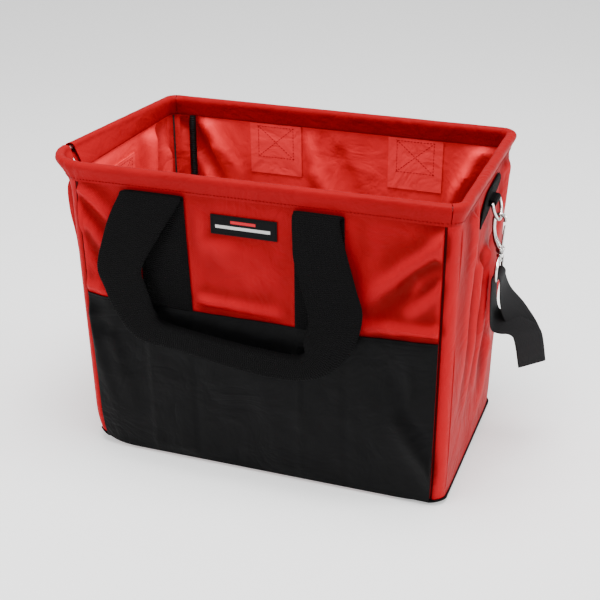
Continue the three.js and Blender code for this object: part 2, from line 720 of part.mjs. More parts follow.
function hookBody() {
  const nose = hookNose.map((share) => (
    new THREE.Vector3(noseRadius * Math.cos(share * Math.PI), 0, noseRadius * Math.sin(share * Math.PI))
  ));
  const spine = hookSpine.map(({ out, down }) => new THREE.Vector3(out * noseRadius, 0, -down * hookLength));
  const wire = tubeAlong([...nose, ...spine], hookWire, hookSteps);
  const knuckle = new THREE.CylinderGeometry(knuckleRadius, knuckleRadius, knuckleThickness, roundSides);
  knuckle.translate(rivetAt.x, 0, rivetAt.z);
  const bore = rivetBore(3 * knuckleThickness);
  const slotLength = 3 * knuckleRadius;
  const slot = new THREE.BoxGeometry(slotLength, 2 * (gateWire + clearance), slotLength);
  const slotEdge = slotLength / 2 - gateEye - clearance;
  slot.translate(rivetAt.x + slotEdge, 0, rivetAt.z + slotEdge);
  const postTop = rivetAt.z - knuckleRadius + swivelSink;
  const post = new THREE.CylinderGeometry(swivelPost, swivelPost, swivelLength, roundSides);
  post.rotateX(Math.PI / 2);
  post.translate(rivetAt.x, 0, postTop - swivelLength / 2);
  const foot = new THREE.CylinderGeometry(swivelRadius, swivelRadius, swivelFoot, roundSides);
  foot.rotateX(Math.PI / 2);
  foot.translate(rivetAt.x, 0, postTop - swivelLength);
  const body = [wire, knuckle, post, foot].map(toSolid).reduce((a, b) => a.add(b));
  return toGeometry(body.subtract(toSolid(slot)).subtract(toSolid(bore)));
}

// Gate: a slim lever on the rivet that closes the nose from outside
function hookGate() {
  const eye = new THREE.CylinderGeometry(gateEye, gateEye, 2 * gateWire, roundSides);
  eye.translate(rivetAt.x, 0, rivetAt.z);
  const tip = new THREE.Vector3(noseRadius, 0, -noseRadius - clearance);
  const start = new THREE.Vector3(rivetAt.x + gateWire * gateStart, 0, rivetAt.z + gateWire * gateStart);
  const lever = tubeAlong([start, start.clone().lerp(tip, 0.5), tip], gateWire * leverShare, gateSteps);
  return toGeometry(toSolid(eye).add(toSolid(lever)).subtract(toSolid(rivetBore(knuckleThickness))));
}

function hookRivet() {
  const reach = knuckleThickness / 2 + clearance;
  const pin = new THREE.CylinderGeometry(rivetRadius, rivetRadius, 2 * reach, roundSides);
  const heads = [-1, 1].map((end) => {
    const head = new THREE.CylinderGeometry(rivetHead, rivetHead, rivetHeadHeight, roundSides);
    head.translate(0, end * (reach + rivetHeadHeight / 2), 0);
    return head;
  });
  const rivet = joined([pin, ...heads]);
  rivet.translate(rivetAt.x, 0, rivetAt.z);
  return rivet;
}

// Swivel eye: a collar round the hook's post, shoulders, and a straight bar for the strap. Its outline
// is along in shares of the half width and down in shares of eyeDrop.
const eyeTop = rivetAt.z - knuckleRadius - clearance - collarHeight / 2;
const eyeHalf = [
  { along: 0.45, down: 0.05 },
  { along: 0.9, down: 0.3 },
  { along: 1, down: 0.55 },
  { along: 1, down: 0.86 },
  { along: 0.9, down: 1 },
];

function hookEye() {
  const half = strapWidth / 2 + eyeWire + clearance * 3;
  const collar = new THREE.CylinderGeometry(collarRadius, collarRadius, collarHeight, roundSides);
  collar.rotateX(Math.PI / 2);
  const boreRadius = swivelPost + clearance;
  const bore = new THREE.CylinderGeometry(boreRadius, boreRadius, 3 * collarHeight, roundSides);
  bore.rotateX(Math.PI / 2);
  const mirrored = [...eyeHalf].reverse().map(({ along, down }) => ({ along: -along, down }));
  const outline = [{ along: 0, down: 0 }, ...eyeHalf, { along: 0, down: 1 }, ...mirrored];
  const corners = outline.map(({ along, down }) => new THREE.Vector3(0, along * half, -down * eyeDrop));
  const loop = wireLoop(corners, eyeWire, xAxis);
  const chamberRadius = swivelRadius + clearance;
  const chamber = new THREE.CylinderGeometry(chamberRadius, chamberRadius, 2 * swivelRadius, roundSides);
  chamber.rotateX(Math.PI / 2);
  chamber.translate(0, 0, -collarHeight / 2 - swivelRadius);
  const eye = toSolid(collar).add(toSolid(loop)).subtract(toSolid(bore)).subtract(toSolid(chamber));
  const geometry = toGeometry(eye);
  geometry.translate(rivetAt.x, 0, eyeTop);
  return geometry;
}

// Strap: from its cut end up behind, over the eye's bar, down and round to the front.
// out, along and drop: shares of strapWidth, strapWidth and strapDrop from the bar; turn: how far the
// webbing's width has turned from lying along the bag to facing the front, in degrees; tilt: how far
// its outer edge is raised.
const strapRows = [
  { out: 1.35, along: 0.42, drop: 0.98, turn: 64, tilt: 14 },
  { out: 1.08, along: 0.42, drop: 0.68, turn: 62, tilt: 18 },
  { out: 0.62, along: 0.36, drop: 0.46, turn: 40, tilt: 20 },
  { out: 0.3, along: 0.1, drop: 0.24, turn: 12, tilt: 10 },
  { out: 0.16, along: 0, drop: 0.06, turn: 0, tilt: 0 },
  { out: 0.13, along: 0, drop: -0.01, turn: 0, tilt: 0 },
  { out: 0, along: 0, drop: -0.042, turn: 0, tilt: 0 },
  { out: -0.13, along: 0, drop: -0.01, turn: 0, tilt: 0 },
  { out: -0.14, along: 0, drop: 0.12, turn: 0, tilt: 0 },
  { out: -0.1, along: -0.02, drop: 0.38, turn: 2, tilt: 4 },
  { out: 0.02, along: -0.04, drop: 0.52, turn: 8, tilt: 22 },
  { out: 0.4, along: 0.0, drop: 0.55, turn: 22, tilt: 26 },
  { out: 0.95, along: 0.12, drop: 0.58, turn: 52, tilt: 18 },
  { out: 1.2, along: 0.16, drop: 0.66, turn: 62, tilt: 16 },
  { out: 1.4, along: 0.26, drop: 0.96, turn: 64, tilt: 14 },
];

function strap() {
  const centres = strapRows.map((row) => (
    new THREE.Vector3(row.out * strapWidth, row.along * strapWidth, -row.drop * strapDrop)
  ));
  const sections = strapRows.map((row, i) => {
    const turn = THREE.MathUtils.degToRad(row.turn);
    const tilt = THREE.MathUtils.degToRad(row.tilt);
    const wide = new THREE.Vector3(
      Math.sin(turn) * Math.cos(tilt), Math.cos(turn) * Math.cos(tilt), Math.sin(tilt),
    );
    const before = centres[Math.max(0, i - 1)];
    const after = centres[Math.min(centres.length - 1, i + 1)];
    const thick = new THREE.Vector3().crossVectors(after.clone().sub(before), wide).normalize();
    const corner = (w, t) => centres[i].clone()
      .addScaledVector(wide, (w * strapWidth) / 2)
      .addScaledVector(thick, (t * strapThickness) / 2);
    return [corner(-1, -1), corner(0, -1), corner(1, -1), corner(1, 1), corner(0, 1), corner(-1, 1)];
  });
  return loft(sections, false);
}

const finishes = {
  red_nylon: { color: 0xc81420, roughness: 0.75, metalness: 0 },
  black_nylon: { color: 0x151517, roughness: 0.8, metalness: 0 },
  black_webbing: { color: 0x0c0c0d, roughness: 0.85, metalness: 0 },
  woven_label: { color: 0x111112, roughness: 0.7, metalness: 0 },
  black_plastic: { color: 0x101011, roughness: 0.5, metalness: 0 },
  bright_steel: { color: 0xc8c9cc, roughness: 0.25, metalness: 1 },
};

const tote = new THREE.Group();

function add(name, geometry, finish, place = null) {
  const bare = new THREE.BufferGeometry();
  bare.setAttribute("position", geometry.getAttribute("position"));
  bare.setIndex(geometry.getIndex());
  bare.computeVertexNormals();
  const mesh = new THREE.Mesh(bare, new THREE.MeshStandardMaterial(finishes[finish]));
  mesh.name = name;
  if (place) mesh.applyMatrix4(place);
  tote.add(mesh);
  return mesh;
}

add("bag_walls", bagWalls(), "red_nylon");
add("rim_frame", rimHoop(rodRadius), "bright_steel");
add("base_panel", basePanel(), "black_nylon");
add("front_panel", panelSheet("front"), "black_nylon");
add("back_panel", panelSheet("back"), "black_nylon");
add("label", label(), "woven_label");
add("front_handle", handle("front"), "black_webbing");
add("back_handle", handle("back"), "black_webbing");

for (const side of sideNames) {
  const { post, centre, way } = cornerPost(side);
  const mesh = add(`post_${side}`, post, "black_plastic");
  mesh.quaternion.setFromUnitVectors(new THREE.Vector3(0, 0, 1), way);
  mesh.position.copy(centre);
}

for (const side of ["front", "back"]) {
  const centres = { left: leftStripCentre, right: rightStripCentre };
  for (const [where, centre] of Object.entries(centres)) {
    const top = rimHeight + hemSection.at(-1).rise * hemHeight - 2 * clearance;
    add(`patch_${side}_${where}`, patch(side, centre, patchWidth, patchBottom, top), "red_nylon");
  }
}

// The left D-ring hangs by itself; the right one is pulled out from the wall by the hook
const ringTilt = { right: THREE.MathUtils.degToRad(-pulledTilt), left: 0 };

function ringFrame(side) {
  const out = new THREE.Matrix4().makeTranslation(ringStandOff, 0, 0);
  const tilt = new THREE.Matrix4().makeRotationY(ringTilt[side]);
  return sideFrame(side, ringBarHeight).multiply(out).multiply(tilt);
}

for (const side of ["right", "left"]) {
  const bottom = sidePatchTop - sidePatchHeight;
  add(`patch_${side}`, patch(side, ringCentre, patchWidth, bottom, sidePatchTop), "red_nylon");
  add(`d_ring_tab_${side}`, ringTab(), "black_webbing", sideFrame(side, ringBarHeight));
  add(`d_ring_${side}`, dRing(), "bright_steel", ringFrame(side));
}

// The hook hangs straight down with its nose over the ring's bow, and the strap hangs from its eye
const bow = new THREE.Vector3(0, 0, -ringDrop).applyMatrix4(ringFrame("right"));
const noseDrop = noseRadius - hookWire - ringWire - noseGap;
const hookPlace = new THREE.Matrix4().makeTranslation(bow.x, bow.y, bow.z - noseDrop);
add("hook_body", hookBody(), "bright_steel", hookPlace);
add("hook_gate", hookGate(), "bright_steel", hookPlace);
add("hook_rivet", hookRivet(), "bright_steel", hookPlace);
add("hook_eye", hookEye(), "bright_steel", hookPlace);
const strapPlace = hookPlace.clone().multiply(new THREE.Matrix4().makeTranslation(
  rivetAt.x, 0, eyeTop - eyeDrop,
));
add("strap", strap(), "black_webbing", strapPlace);

export default tote;
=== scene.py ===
# %% [markdown]
# # Open top tool tote
# The bag is a box of red nylon hung on a steel wire rim, with black panels sewn over its lower half,
# webbing handles, D-rings on both sides and a snap hook with a short strap on one of them.
# The packed CAD model gives the place of everything. Each soft piece is built again here, finely, from
# the same sizes, and stands for its plain CAD solid.

import math

import bpy
import numpy as np
from mathutils import Matrix, Vector, noise


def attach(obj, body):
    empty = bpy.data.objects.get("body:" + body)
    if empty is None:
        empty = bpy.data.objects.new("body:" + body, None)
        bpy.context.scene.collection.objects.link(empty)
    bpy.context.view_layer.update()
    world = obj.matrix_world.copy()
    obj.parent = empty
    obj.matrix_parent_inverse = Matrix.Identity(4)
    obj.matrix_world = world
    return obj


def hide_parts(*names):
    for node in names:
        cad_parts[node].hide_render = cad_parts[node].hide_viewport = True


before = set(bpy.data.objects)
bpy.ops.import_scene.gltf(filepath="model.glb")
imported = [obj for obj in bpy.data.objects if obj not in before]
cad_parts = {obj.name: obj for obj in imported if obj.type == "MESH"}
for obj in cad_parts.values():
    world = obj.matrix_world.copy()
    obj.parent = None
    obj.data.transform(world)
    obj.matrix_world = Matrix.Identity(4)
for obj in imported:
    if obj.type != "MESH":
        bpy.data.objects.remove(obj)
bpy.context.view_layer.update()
MM = 0.001

# %% [markdown]
# ## Camera
# The camera stands where the photographer stood: a little right of the bag and above it. Its place comes
# from fitting the corners of the box. A lens is given in millimetres on a 36 mm sensor. The camera could
# be placed by eye, but with a fit the render lies over the photograph, so each piece can be compared.

# %% Camera
CAMERA_AT = (0.4148, -1.1332, 0.7295)
CAMERA_YAW = math.radians(19.95)
CAMERA_PITCH = math.radians(25.64)
CAMERA_ROLL = math.radians(-0.4)
CAMERA_LENS = 73.67

lens = bpy.data.cameras.new("camera")
lens.lens = CAMERA_LENS
lens.sensor_width = 36
camera = bpy.data.objects.new("camera", lens)
bpy.context.scene.collection.objects.link(camera)
bpy.context.scene.camera = camera
look = Vector((
    -math.sin(CAMERA_YAW) * math.cos(CAMERA_PITCH),
    math.cos(CAMERA_YAW) * math.cos(CAMERA_PITCH),
    -math.sin(CAMERA_PITCH),
))
level = Vector((math.cos(CAMERA_YAW), math.sin(CAMERA_YAW), 0))
above = level.cross(look)
right = level * math.cos(CAMERA_ROLL) + above * math.sin(CAMERA_ROLL)
up = above * math.cos(CAMERA_ROLL) - level * math.sin(CAMERA_ROLL)
turn = Matrix((right, up, -look)).transposed().to_4x4()
camera.matrix_world = Matrix.Translation(CAMERA_AT) @ turn
print("camera", CAMERA_AT, "lens", CAMERA_LENS)

# %% [markdown]
# ## Shader helpers
# A material is a tree of nodes, which could be laid out by hand in the Shader Editor. In a script a small
# class wraps a socket, so that a pattern can be written as arithmetic, and one method makes any other
# node. That is shorter, and it reads like the formula it stands for.

# %% Sockets that add and multiply
class Wire:
    """An output socket in a material's tree, with arithmetic on it."""

    def __init__(self, shade, socket):
        self.shade = shade
        self.socket = socket

    def maths(self, operation, *others):
        return self.shade.node("ShaderNodeMath", {"operation": operation}, *others)

    def __add__(self, other):
        return self.maths("ADD", self, other)

    def __sub__(self, other):
        return self.maths("SUBTRACT", self, other)

    def __rsub__(self, other):
        return self.maths("SUBTRACT", other, self)

    def __mul__(self, other):
        return self.maths("MULTIPLY", self, other)

    __radd__ = __add__
    __rmul__ = __mul__

    def sine(self):
        return self.maths("SINE", self)

    def size(self):
        return self.maths("ABSOLUTE", self)

    def above(self, level):
        return self.maths("GREATER_THAN", self, level)


print("a wire can", [name for name in vars(Wire) if not name.startswith("__")])


# %% A material under construction
class Shade:
    """A material under construction."""

    def __init__(self, name):
        self.material = bpy.data.materials.new(name)
        self.material.use_nodes = True
        self.tree = self.material.node_tree
        self.tree.nodes.clear()
        self.surface = self.tree.nodes.new("ShaderNodeBsdfPrincipled")
        self.end = self.tree.nodes.new("ShaderNodeOutputMaterial")
        self.tree.links.new(self.surface.outputs[0], self.end.inputs["Surface"])

    def feed(self, socket, value):
        if isinstance(value, Wire):
            self.tree.links.new(value.socket, socket)
        elif value is not None:
            socket.default_value = value

    def node(self, kind, settings=None, *values, out=0, **named):
        """Makes a node: settings first, then values or links for its sockets in order or by name."""
        made = self.tree.nodes.new(kind)
        for key, value in (settings or {}).items():
            setattr(made, key, value)
        for spot, value in enumerate(values):
            self.feed(made.inputs[spot], value)
        for key, value in named.items():
            self.feed(made.inputs[key.replace("_", " ")], value)
        return Wire(self, made.outputs[out])

    def set(self, **named):
        for key, value in named.items():
            self.feed(self.surface.inputs[key.replace("_", " ")], value)

    def mix(self, share, one, other):
        return self.node("ShaderNodeMixRGB", {}, share, one, other)

    def clamp(self, value):
        return self.node("ShaderNodeClamp", {}, value)

    def split(self, vector):
        made = self.tree.nodes.new("ShaderNodeSeparateXYZ")
        self.feed(made.inputs[0], vector)
        return [Wire(self, made.outputs[i]) for i in range(3)]

    def bump(self, height, depth, distance=0.001, normal=None):
        return self.node(
            "ShaderNodeBump", {}, Strength=depth, Distance=distance, Height=height, Normal=normal
        )


print("a shade can", [name for name in vars(Shade) if not name.startswith("__")])

# %% [markdown]
# ## Finishes
# Nylon cloth is a plain weave: threads go over and under each other, about a millimetre for two of them.
# A picture of cloth could be laid over it, but a product of two sines stays sharp from near and far. It
# follows the UV map, which holds real metres along the cloth, so it has the same scale on every piece.
# Small creases and dusty, worn patches come from noise on Object coordinates, which has no seams. Crests
# of the cloth are painted paler and valleys darker, as a painted highlight and painted shade of the folds:
# each vertex carries a number for it, and the shader adds it.

# %% Weave and nylon
def weave(shade, pitch):
    """Height of a plain weave on the UV map, from 0 to 1."""
    across, along, _ = shade.split(shade.node("ShaderNodeTexCoord", out=2))
    turns = math.pi / pitch
    return (across * turns).sine() * (along * turns).sine() * 0.5 + 0.5


def noise_at(shade, scale, detail=3.0, rough=0.5, warp=0.0):
    place = shade.node("ShaderNodeTexCoord", out=3)
    return shade.node(
        "ShaderNodeTexNoise", {}, place, Scale=scale, Detail=detail, Roughness=rough, Distortion=warp
    )


def nylon(name, deep, pale, gloss, shine, crease=0.5):
    shade = Shade(name)
    threads = weave(shade, 0.0011)
    clouds = noise_at(shade, 9, 4, 0.55)
    creases = noise_at(shade, 42, 5, 0.6, 0.8)
    crumples = (noise_at(shade, 15, 3, 0.55, 1.2) * 2 - 1).size()
    crest_shading = shade.node("ShaderNodeAttribute", {"attribute_name": "crest_shading"}, out=2)
    # The crest value paints fold crests paler and fold valleys darker: painted highlight and painted shade.
    share = clouds * 0.4 + threads * 0.15 + 0.1 + crest_shading
    colour = shade.mix(shade.clamp(share), (*deep, 1), (*pale, 1))
    soft = shade.bump(creases, crease, 0.0028, shade.bump(crumples, crease * 0.7, 0.007))
    shade.set(
        Base_Color=colour,
        Roughness=clouds * 0.15 + gloss,
        Normal=shade.bump(threads, 0.25, 0.00025, soft),
        Specular_IOR_Level=shine,
    )
    return shade.material


RED_NYLON = nylon("red_nylon", (0.15, 0.0003, 0.001), (0.46, 0.003, 0.01), 0.46, 0.05)
# The lining is the same red nylon painted paler: painted light on the inside of the bag.
RED_LINING_PAINTED_LIGHT = nylon("red_lining_painted_light", (0.56, 0.01, 0.016), (0.92, 0.03, 0.042), 0.46, 0.08)
# The inner patches are the same red nylon painted paler where they catch the light: painted light.
RED_PATCH_PAINTED_LIGHT = nylon("red_patch_painted_light", (0.7, 0.022, 0.03), (0.95, 0.046, 0.056), 0.4, 0.1)
# The seam colour is the red nylon made nearly black: painted shade in the grooves of the corner seams.
SEAM_PAINTED_SHADE = nylon("red_seam_painted_shade", (0.03, 0.0, 0.0005), (0.06, 0.0005, 0.001), 0.6, 0.04)
BLACK_NYLON = nylon("black_nylon", (0.0004, 0.0004, 0.0005), (0.0036, 0.0036, 0.004), 0.4, 0.06, 0.35)
print("nylon", [m.name for m in (RED_NYLON, RED_LINING_PAINTED_LIGHT, BLACK_NYLON)])

# %% [markdown]
# Webbing is a heavy twill ribbon. Its weft shows as fine ribs across it, a rib each two millimetres,
# broken by rows of warp threads that run along it. Ribs could be modelled, but at this size a bump is
# enough and costs no triangles. Both patterns follow the UV map, so the ribs fan out round a bend.

# %% Webbing
def webbing_finish(name, dark, light, shine, rib=0.0021, row=0.0026):
    shade = Shade(name)
    across, along, _ = shade.split(shade.node("ShaderNodeTexCoord", out=2))
    rows = (across * (math.pi / row)).sine()
    slant = (along * (2 * math.pi / rib) + rows * 1.1).sine() * 0.5 + 0.5
    ridges = slant * 0.75 + rows.size() * 0.25
    worn = noise_at(shade, 45, 4, 0.6)
    colour = shade.mix(ridges * 0.55 + worn * 0.35, (*dark, 1), (*light, 1))
    shade.set(
        Base_Color=colour,
        Roughness=worn * 0.15 + 0.62,
        Normal=shade.bump(ridges, 0.9, 0.0009, shade.bump(worn, 0.2, 0.001)),
        Specular_IOR_Level=shine,
    )
    return shade.material


WEBBING = webbing_finish("black_webbing", (0.0002, 0.0002, 0.0003), (0.0042, 0.004, 0.0042), 0.05)
STRAP_WEBBING = webbing_finish(
    "strap_webbing", (0.004, 0.004, 0.0045), (0.015, 0.0145, 0.0155), 0.14, 0.0014, 0.0018
)
TAPE = webbing_finish("corner_tape", (0.012, 0.014, 0.013), (0.035, 0.038, 0.036), 0.1, 0.0016, 0.002)
print("webbing", [m.name for m in (WEBBING, STRAP_WEBBING, TAPE)])

# %% [markdown]
# Sewing thread is thin and dull. A stitch is under three millimetres long, so one tone with fine noise is
# all that shows of its twist. It shines very little: brighter thread would look like a row of beads.

# %% Thread
def thread(name, colour):
    shade = Shade(name)
    tone = noise_at(shade, 400, 2)
    dark = tuple(c * 0.7 for c in colour)
    shade.set(
        Base_Color=shade.mix(tone, (*dark, 1), (*colour, 1)),
        Roughness=tone * 0.2 + 0.6,
        Specular_IOR_Level=0.05,
    )
    return shade.material


RED_THREAD = thread("red_thread", (0.24, 0.003, 0.006))
BLACK_THREAD = thread("black_thread", (0.005, 0.005, 0.0055))
print("thread", RED_THREAD.name, BLACK_THREAD.name)

# %% [markdown]
# The posts in the corners are black plastic with fine ribs. The ribs could be turned into the mesh, but
# only a short length of one post shows, inside the bag. So they are a sine along the UV map, as a bump.

# %% Ribbed plastic
POST_RIB = 0.0022


def plastic():
    """Black plastic with fine ribs across its length."""
    shade = Shade("ribbed_plastic")
    grain = noise_at(shade, 700, 3)
    _, along, _ = shade.split(shade.node("ShaderNodeTexCoord", out=2))
    ribs = (along * (2 * math.pi / POST_RIB)).sine() * 0.5 + 0.5
    dark, light = (0.0008, 0.0008, 0.001, 1), (0.008, 0.0085, 0.0085, 1)
    shade.set(
        Base_Color=shade.mix(ribs * 0.5 + grain * 0.4, dark, light),
        Roughness=grain * 0.2 + 0.45,
        Specular_IOR_Level=0.12,
        Normal=shade.bump(ribs, 0.7, 0.0008, shade.bump(grain, 0.15, 0.0003)),
    )
    return shade.material


RIBBED_PLASTIC = plastic()
print("plastic", RIBBED_PLASTIC.name)

# %% [markdown]
# The rings and the hook are bright nickel. Metal is drawn by what it mirrors, and in a studio that is
# pale lights above and dark things below. A room could be built round the bag, but a colour that follows
# the Normal coordinate gives the same light and dark sides, and it also works in another scene.

# %% Steel
def steel():
    """Bright nickel: sides that face up or out mirror the room, and the others the dark side of it."""
    shade = Shade("bright_nickel")
    tone = noise_at(shade, 160, 4, 0.6)
    scuffs = noise_at(shade, 900, 2, 0.7)
    out, _, rise = shade.split(shade.node("ShaderNodeTexCoord", out=1))
    lit = shade.clamp((rise * 0.8 + out * 0.5) * 1.4 + tone * 0.5)
    shade.set(
        Base_Color=shade.mix(lit, (0.13, 0.125, 0.12, 1), (0.86, 0.85, 0.83, 1)),
        Metallic=1.0,
        Roughness=tone * 0.12 + 0.12,
        Normal=shade.bump(scuffs, 0.06, 0.0003),
    )
    return shade.material


STEEL = steel()
print("finishes", len(bpy.data.materials))

# %% [markdown]
# ## The box of cloth
# The walls of the real bag are flat pieces of nylon that hang from the wire rim. They could be sculpted,
# or dropped with a cloth simulation, but neither puts a fold where the photograph has it. So they are
# drawn by one function: a point on a side, at a height, at a distance in or out from the middle of the
# cloth. Folds are short lines in a table, with a width and a depth. Every sewn piece asks the same
# function, so it lies on the cloth, folds and all.

# %% Sizes of the box, in millimetres
RIM_WIDTH, RIM_DEPTH, RIM_HEIGHT = 400, 243, 324
FOOT_WIDTH, FOOT_DEPTH = 392, 229
EDGE_RADIUS = 12
CLOTH = 2
CLEARANCE = 0.3
BASE_THICKNESS = 3
BASE_LIP = 3.2
BELLY = 3
FOLD_DEPTH, FOLD_TAPER, FOLD_SPREAD, FOLD_ROUND = 11, 0.4, 0.5, 0.22
SEWN_FADE, SEAM_FADE = 14, 9
EMBOSS, EMBOSS_EDGE, EMBOSS_END = 1.3, 3, 8
CURL_HEIGHT, CURL_REACH, CURL_IN = 48, 24, 0.35
FOOT_CURL = [(-198, -118, 11), (198, -118, 4), (198, 118, 3), (-198, 118, 3)]
ROD_RADIUS = 3
RIM_BEND = 40
RIM_KNEE = 0.6
HEM_HEIGHT = 16
HEM_PLY = 1.8
print("box", RIM_WIDTH, RIM_DEPTH, RIM_HEIGHT)

# %% Sizes of what is sewn on, in millimetres
POST_RADIUS, POST_INSET = 4, 27
PANEL_TOP, PANEL_THICKNESS, PANEL_SAG = 183, 1.5, 5
LABEL_WIDTH, LABEL_HEIGHT, LABEL_CENTRE, LABEL_TOP, LABEL_THICKNESS = 69, 20, -9, 292, 1
WEBBING_WIDTH, WEBBING_THICKNESS = 50, 2
STRIP_TOP = 303
STRIP_CENTRES = (-96.5, 68)
PATCH_WIDTH, PATCH_BOTTOM, PATCH_THICKNESS = 62, 247, 1
SIDE_PATCH_HEIGHT, SIDE_PATCH_TOP = 34, 290
RING_CENTRE, TAB_LENGTH = 8, 92
GAP = CLOTH / 2 + CLEARANCE
WALL_FOOT = BASE_THICKNESS + CLEARANCE
HEM_BOTTOM = RIM_HEIGHT - HEM_HEIGHT
FLARE_START = LABEL_TOP
print("distance of a sewn piece from the middle of the cloth", GAP)

# %% Sides and corners
# Each side: the way it runs and the way it faces
SIDES = {
    "front": ((1, 0), (0, -1)),
    "right": ((0, 1), (1, 0)),
    "back": ((-1, 0), (0, 1)),
    "left": ((0, -1), (-1, 0)),
}
SIDE_NAMES = list(SIDES)
# Corners of the rim: share of the half width and half depth, and of RIM_BEND
RIM_CORNERS = {
    "front": (-1.11, -1.02, 1.05),
    "right": (1.01, -0.98, 0.4),
    "back": (1.01, 0.98, 0.3),
    "left": (-0.99, 0.99, 0.25),
}
print("sides", SIDE_NAMES)

# %% Folds
# side; from along, rise to along, rise (shares of the half length and of the rim height); width, share
# of the rim height; depth, share of FOLD_DEPTH, out if positive; sharpness of its profile
FOLDS = [
    ("front", -0.99, 0.975, -0.72, 0.81, 0.02, 0.8, 1.3),
    ("front", -0.985, 0.93, -0.78, 0.7, 0.018, 0.7, 1.3),
    ("front", -0.97, 0.84, -0.8, 0.5, 0.022, 0.75, 1.3),
    ("front", -0.93, 0.9, -0.78, 0.77, 0.024, -0.5, 2),
    ("front", -0.93, 0.77, -0.82, 0.6, 0.026, -0.6, 2),
    ("front", -0.93, 0.5, -0.8, 0.04, 0.03, 0.6, 1.5),
    ("front", -0.84, 0.42, -0.72, 0.1, 0.026, 0.5, 1.5),
    ("front", -0.88, 0.46, -0.77, 0.14, 0.024, -0.5, 2),
    ("front", -0.34, 0.612, 0.24, 0.597, 0.014, 0.42, 1.4),
    ("front", -0.34, 0.585, 0.24, 0.572, 0.01, -0.3, 1.6),
    ("front", 0.95, 0.618, 0.52, 0.6, 0.016, 0.6, 1.4),
    ("front", 0.95, 0.588, 0.52, 0.573, 0.01, -0.35, 1.6),
    ("front", -0.95, 0.605, -0.66, 0.585, 0.014, 0.35, 1.4),
    ("front", 0.985, 0.93, 0.52, 0.66, 0.026, 0.9, 1.4),
    ("front", 0.9, 0.81, 0.55, 0.62, 0.03, -0.7, 1.8),
    ("front", 0.985, 0.8, 0.76, 0.64, 0.018, 0.55, 1.3),
    ("front", 0.99, 0.9, 0.92, 0.84, 0.01, 0.5, 1.4),
    ("front", -0.2, 0.82, 0.12, 0.68, 0.05, 0.25, 2),
    ("front", 0.97, 0.1, 0.72, 0.32, 0.026, 0.7, 1.5),
    ("front", 0.94, 0.3, 0.7, 0.5, 0.03, -0.5, 2),
    ("right", 0.72, 0.95, 0.6, 0.66, 0.036, 0.6, 1.5),
    ("right", 0.56, 0.56, 0.32, 0.4, 0.04, 0.7, 1.5),
    ("right", 0.3, 0.34, 0.19, 0.08, 0.045, 0.7, 1.5),
    ("right", -0.3, 0.93, -0.4, 0.2, 0.026, 0.9, 1.3),
    ("right", 0.02, 0.8, -0.12, 0.2, 0.026, 0.8, 1.3),
    ("right", -0.6, 0.93, -0.66, 0.3, 0.022, 0.7, 1.3),
    ("right", 0.34, 0.76, 0.08, 0.2, 0.032, -0.75, 1.5),
    ("right", -0.12, 0.84, -0.3, 0.15, 0.03, -0.6, 1.5),
    ("right", -0.46, 0.92, -0.58, 0.2, 0.026, -0.5, 1.6),
    ("right", 0.1, 0.68, 0.18, 0.5, 0.014, -0.6, 1.3),
    ("back", 0.8, 0.95, 0.5, 0.7, 0.026, -1.0, 1.4),
    ("back", 0.9, 0.93, 0.62, 0.66, 0.03, 0.9, 1.5),
    ("back", 0.76, 0.74, 0.52, 0.5, 0.03, -0.7, 1.5),
    ("back", -0.85, 0.93, -0.58, 0.64, 0.026, -1.0, 1.4),
    ("back", -0.95, 0.84, -0.68, 0.58, 0.03, 0.8, 1.6),
    ("back", -0.9, 0.6, -0.66, 0.42, 0.03, -0.7, 1.6),
    ("back", 0.17, 0.9, -0.1, 0.62, 0.022, -0.4, 1.6),
    ("back", 0.1, 0.78, -0.2, 0.5, 0.02, -0.4, 1.6),
    ("back", -0.04, 0.86, -0.26, 0.58, 0.026, 0.4, 1.6),
    ("back", 0.72, 0.84, 0.54, 0.62, 0.016, -0.5, 1.5),
    ("back", 0.86, 0.78, 0.66, 0.6, 0.018, -0.5, 1.5),
    ("back", -0.78, 0.84, -0.66, 0.66, 0.016, -0.5, 1.5),
    ("back", 0.18, 0.66, 0.0, 0.5, 0.018, -0.45, 1.5),
    ("left", 0.92, 0.9, 0.5, 0.45, 0.04, 0.8, 1.5),
    ("left", -0.5, 0.9, -0.35, 0.2, 0.035, -0.9, 1.5),
    ("left", 0.1, 0.7, 0.25, 0.12, 0.04, 0.7, 1.6),
    ("left", -0.78, 0.96, -0.6, 0.5, 0.026, 0.9, 1.4),
    ("left", -0.9, 0.8, -0.72, 0.4, 0.026, -0.6, 1.5),
]
# Sewn pieces hold the cloth flat: side, from, to, bottom, top
SEWN = [
    (side, centre - PATCH_WIDTH / 2, centre + PATCH_WIDTH / 2, PANEL_TOP, RIM_HEIGHT)
    for side in ("front", "back") for centre in STRIP_CENTRES
] + [
    (side, RING_CENTRE - TAB_LENGTH / 2, RING_CENTRE + TAB_LENGTH / 2, PATCH_BOTTOM, RIM_HEIGHT)
    for side in ("right", "left")
] + [
    (
        "front", LABEL_CENTRE - LABEL_WIDTH / 2, LABEL_CENTRE + LABEL_WIDTH / 2,
        LABEL_TOP - LABEL_HEIGHT, LABEL_TOP,
    )
]
print("folds", len(FOLDS), "sewn places", len(SEWN))


# %% The plain box
def smooth(t):
    """A soft step from 0 to 1."""
    c = np.clip(t, 0, 1)
    return c * c * (3 - 2 * c)


def box_halves(side, z):
    """Half length and half distance of a side of the plain box at a height."""
    rise = np.asarray(z, float) / RIM_HEIGHT
    wide = (FOOT_WIDTH + (RIM_WIDTH - FOOT_WIDTH) * rise) / 2
    deep = (FOOT_DEPTH + (RIM_DEPTH - FOOT_DEPTH) * rise) / 2
    return (wide, deep) if side in ("front", "back") else (deep, wide)


print("half width and half depth of the foot", box_halves("front", 0))

# %% Small waves and ridges
# Small uneven waves: height, length along the side, length up it, seed
CRUMPLES = [(1.9, 55, 80, 0.0), (0.7, 19, 27, 9.0)]
SIDE_SEED = 37.0


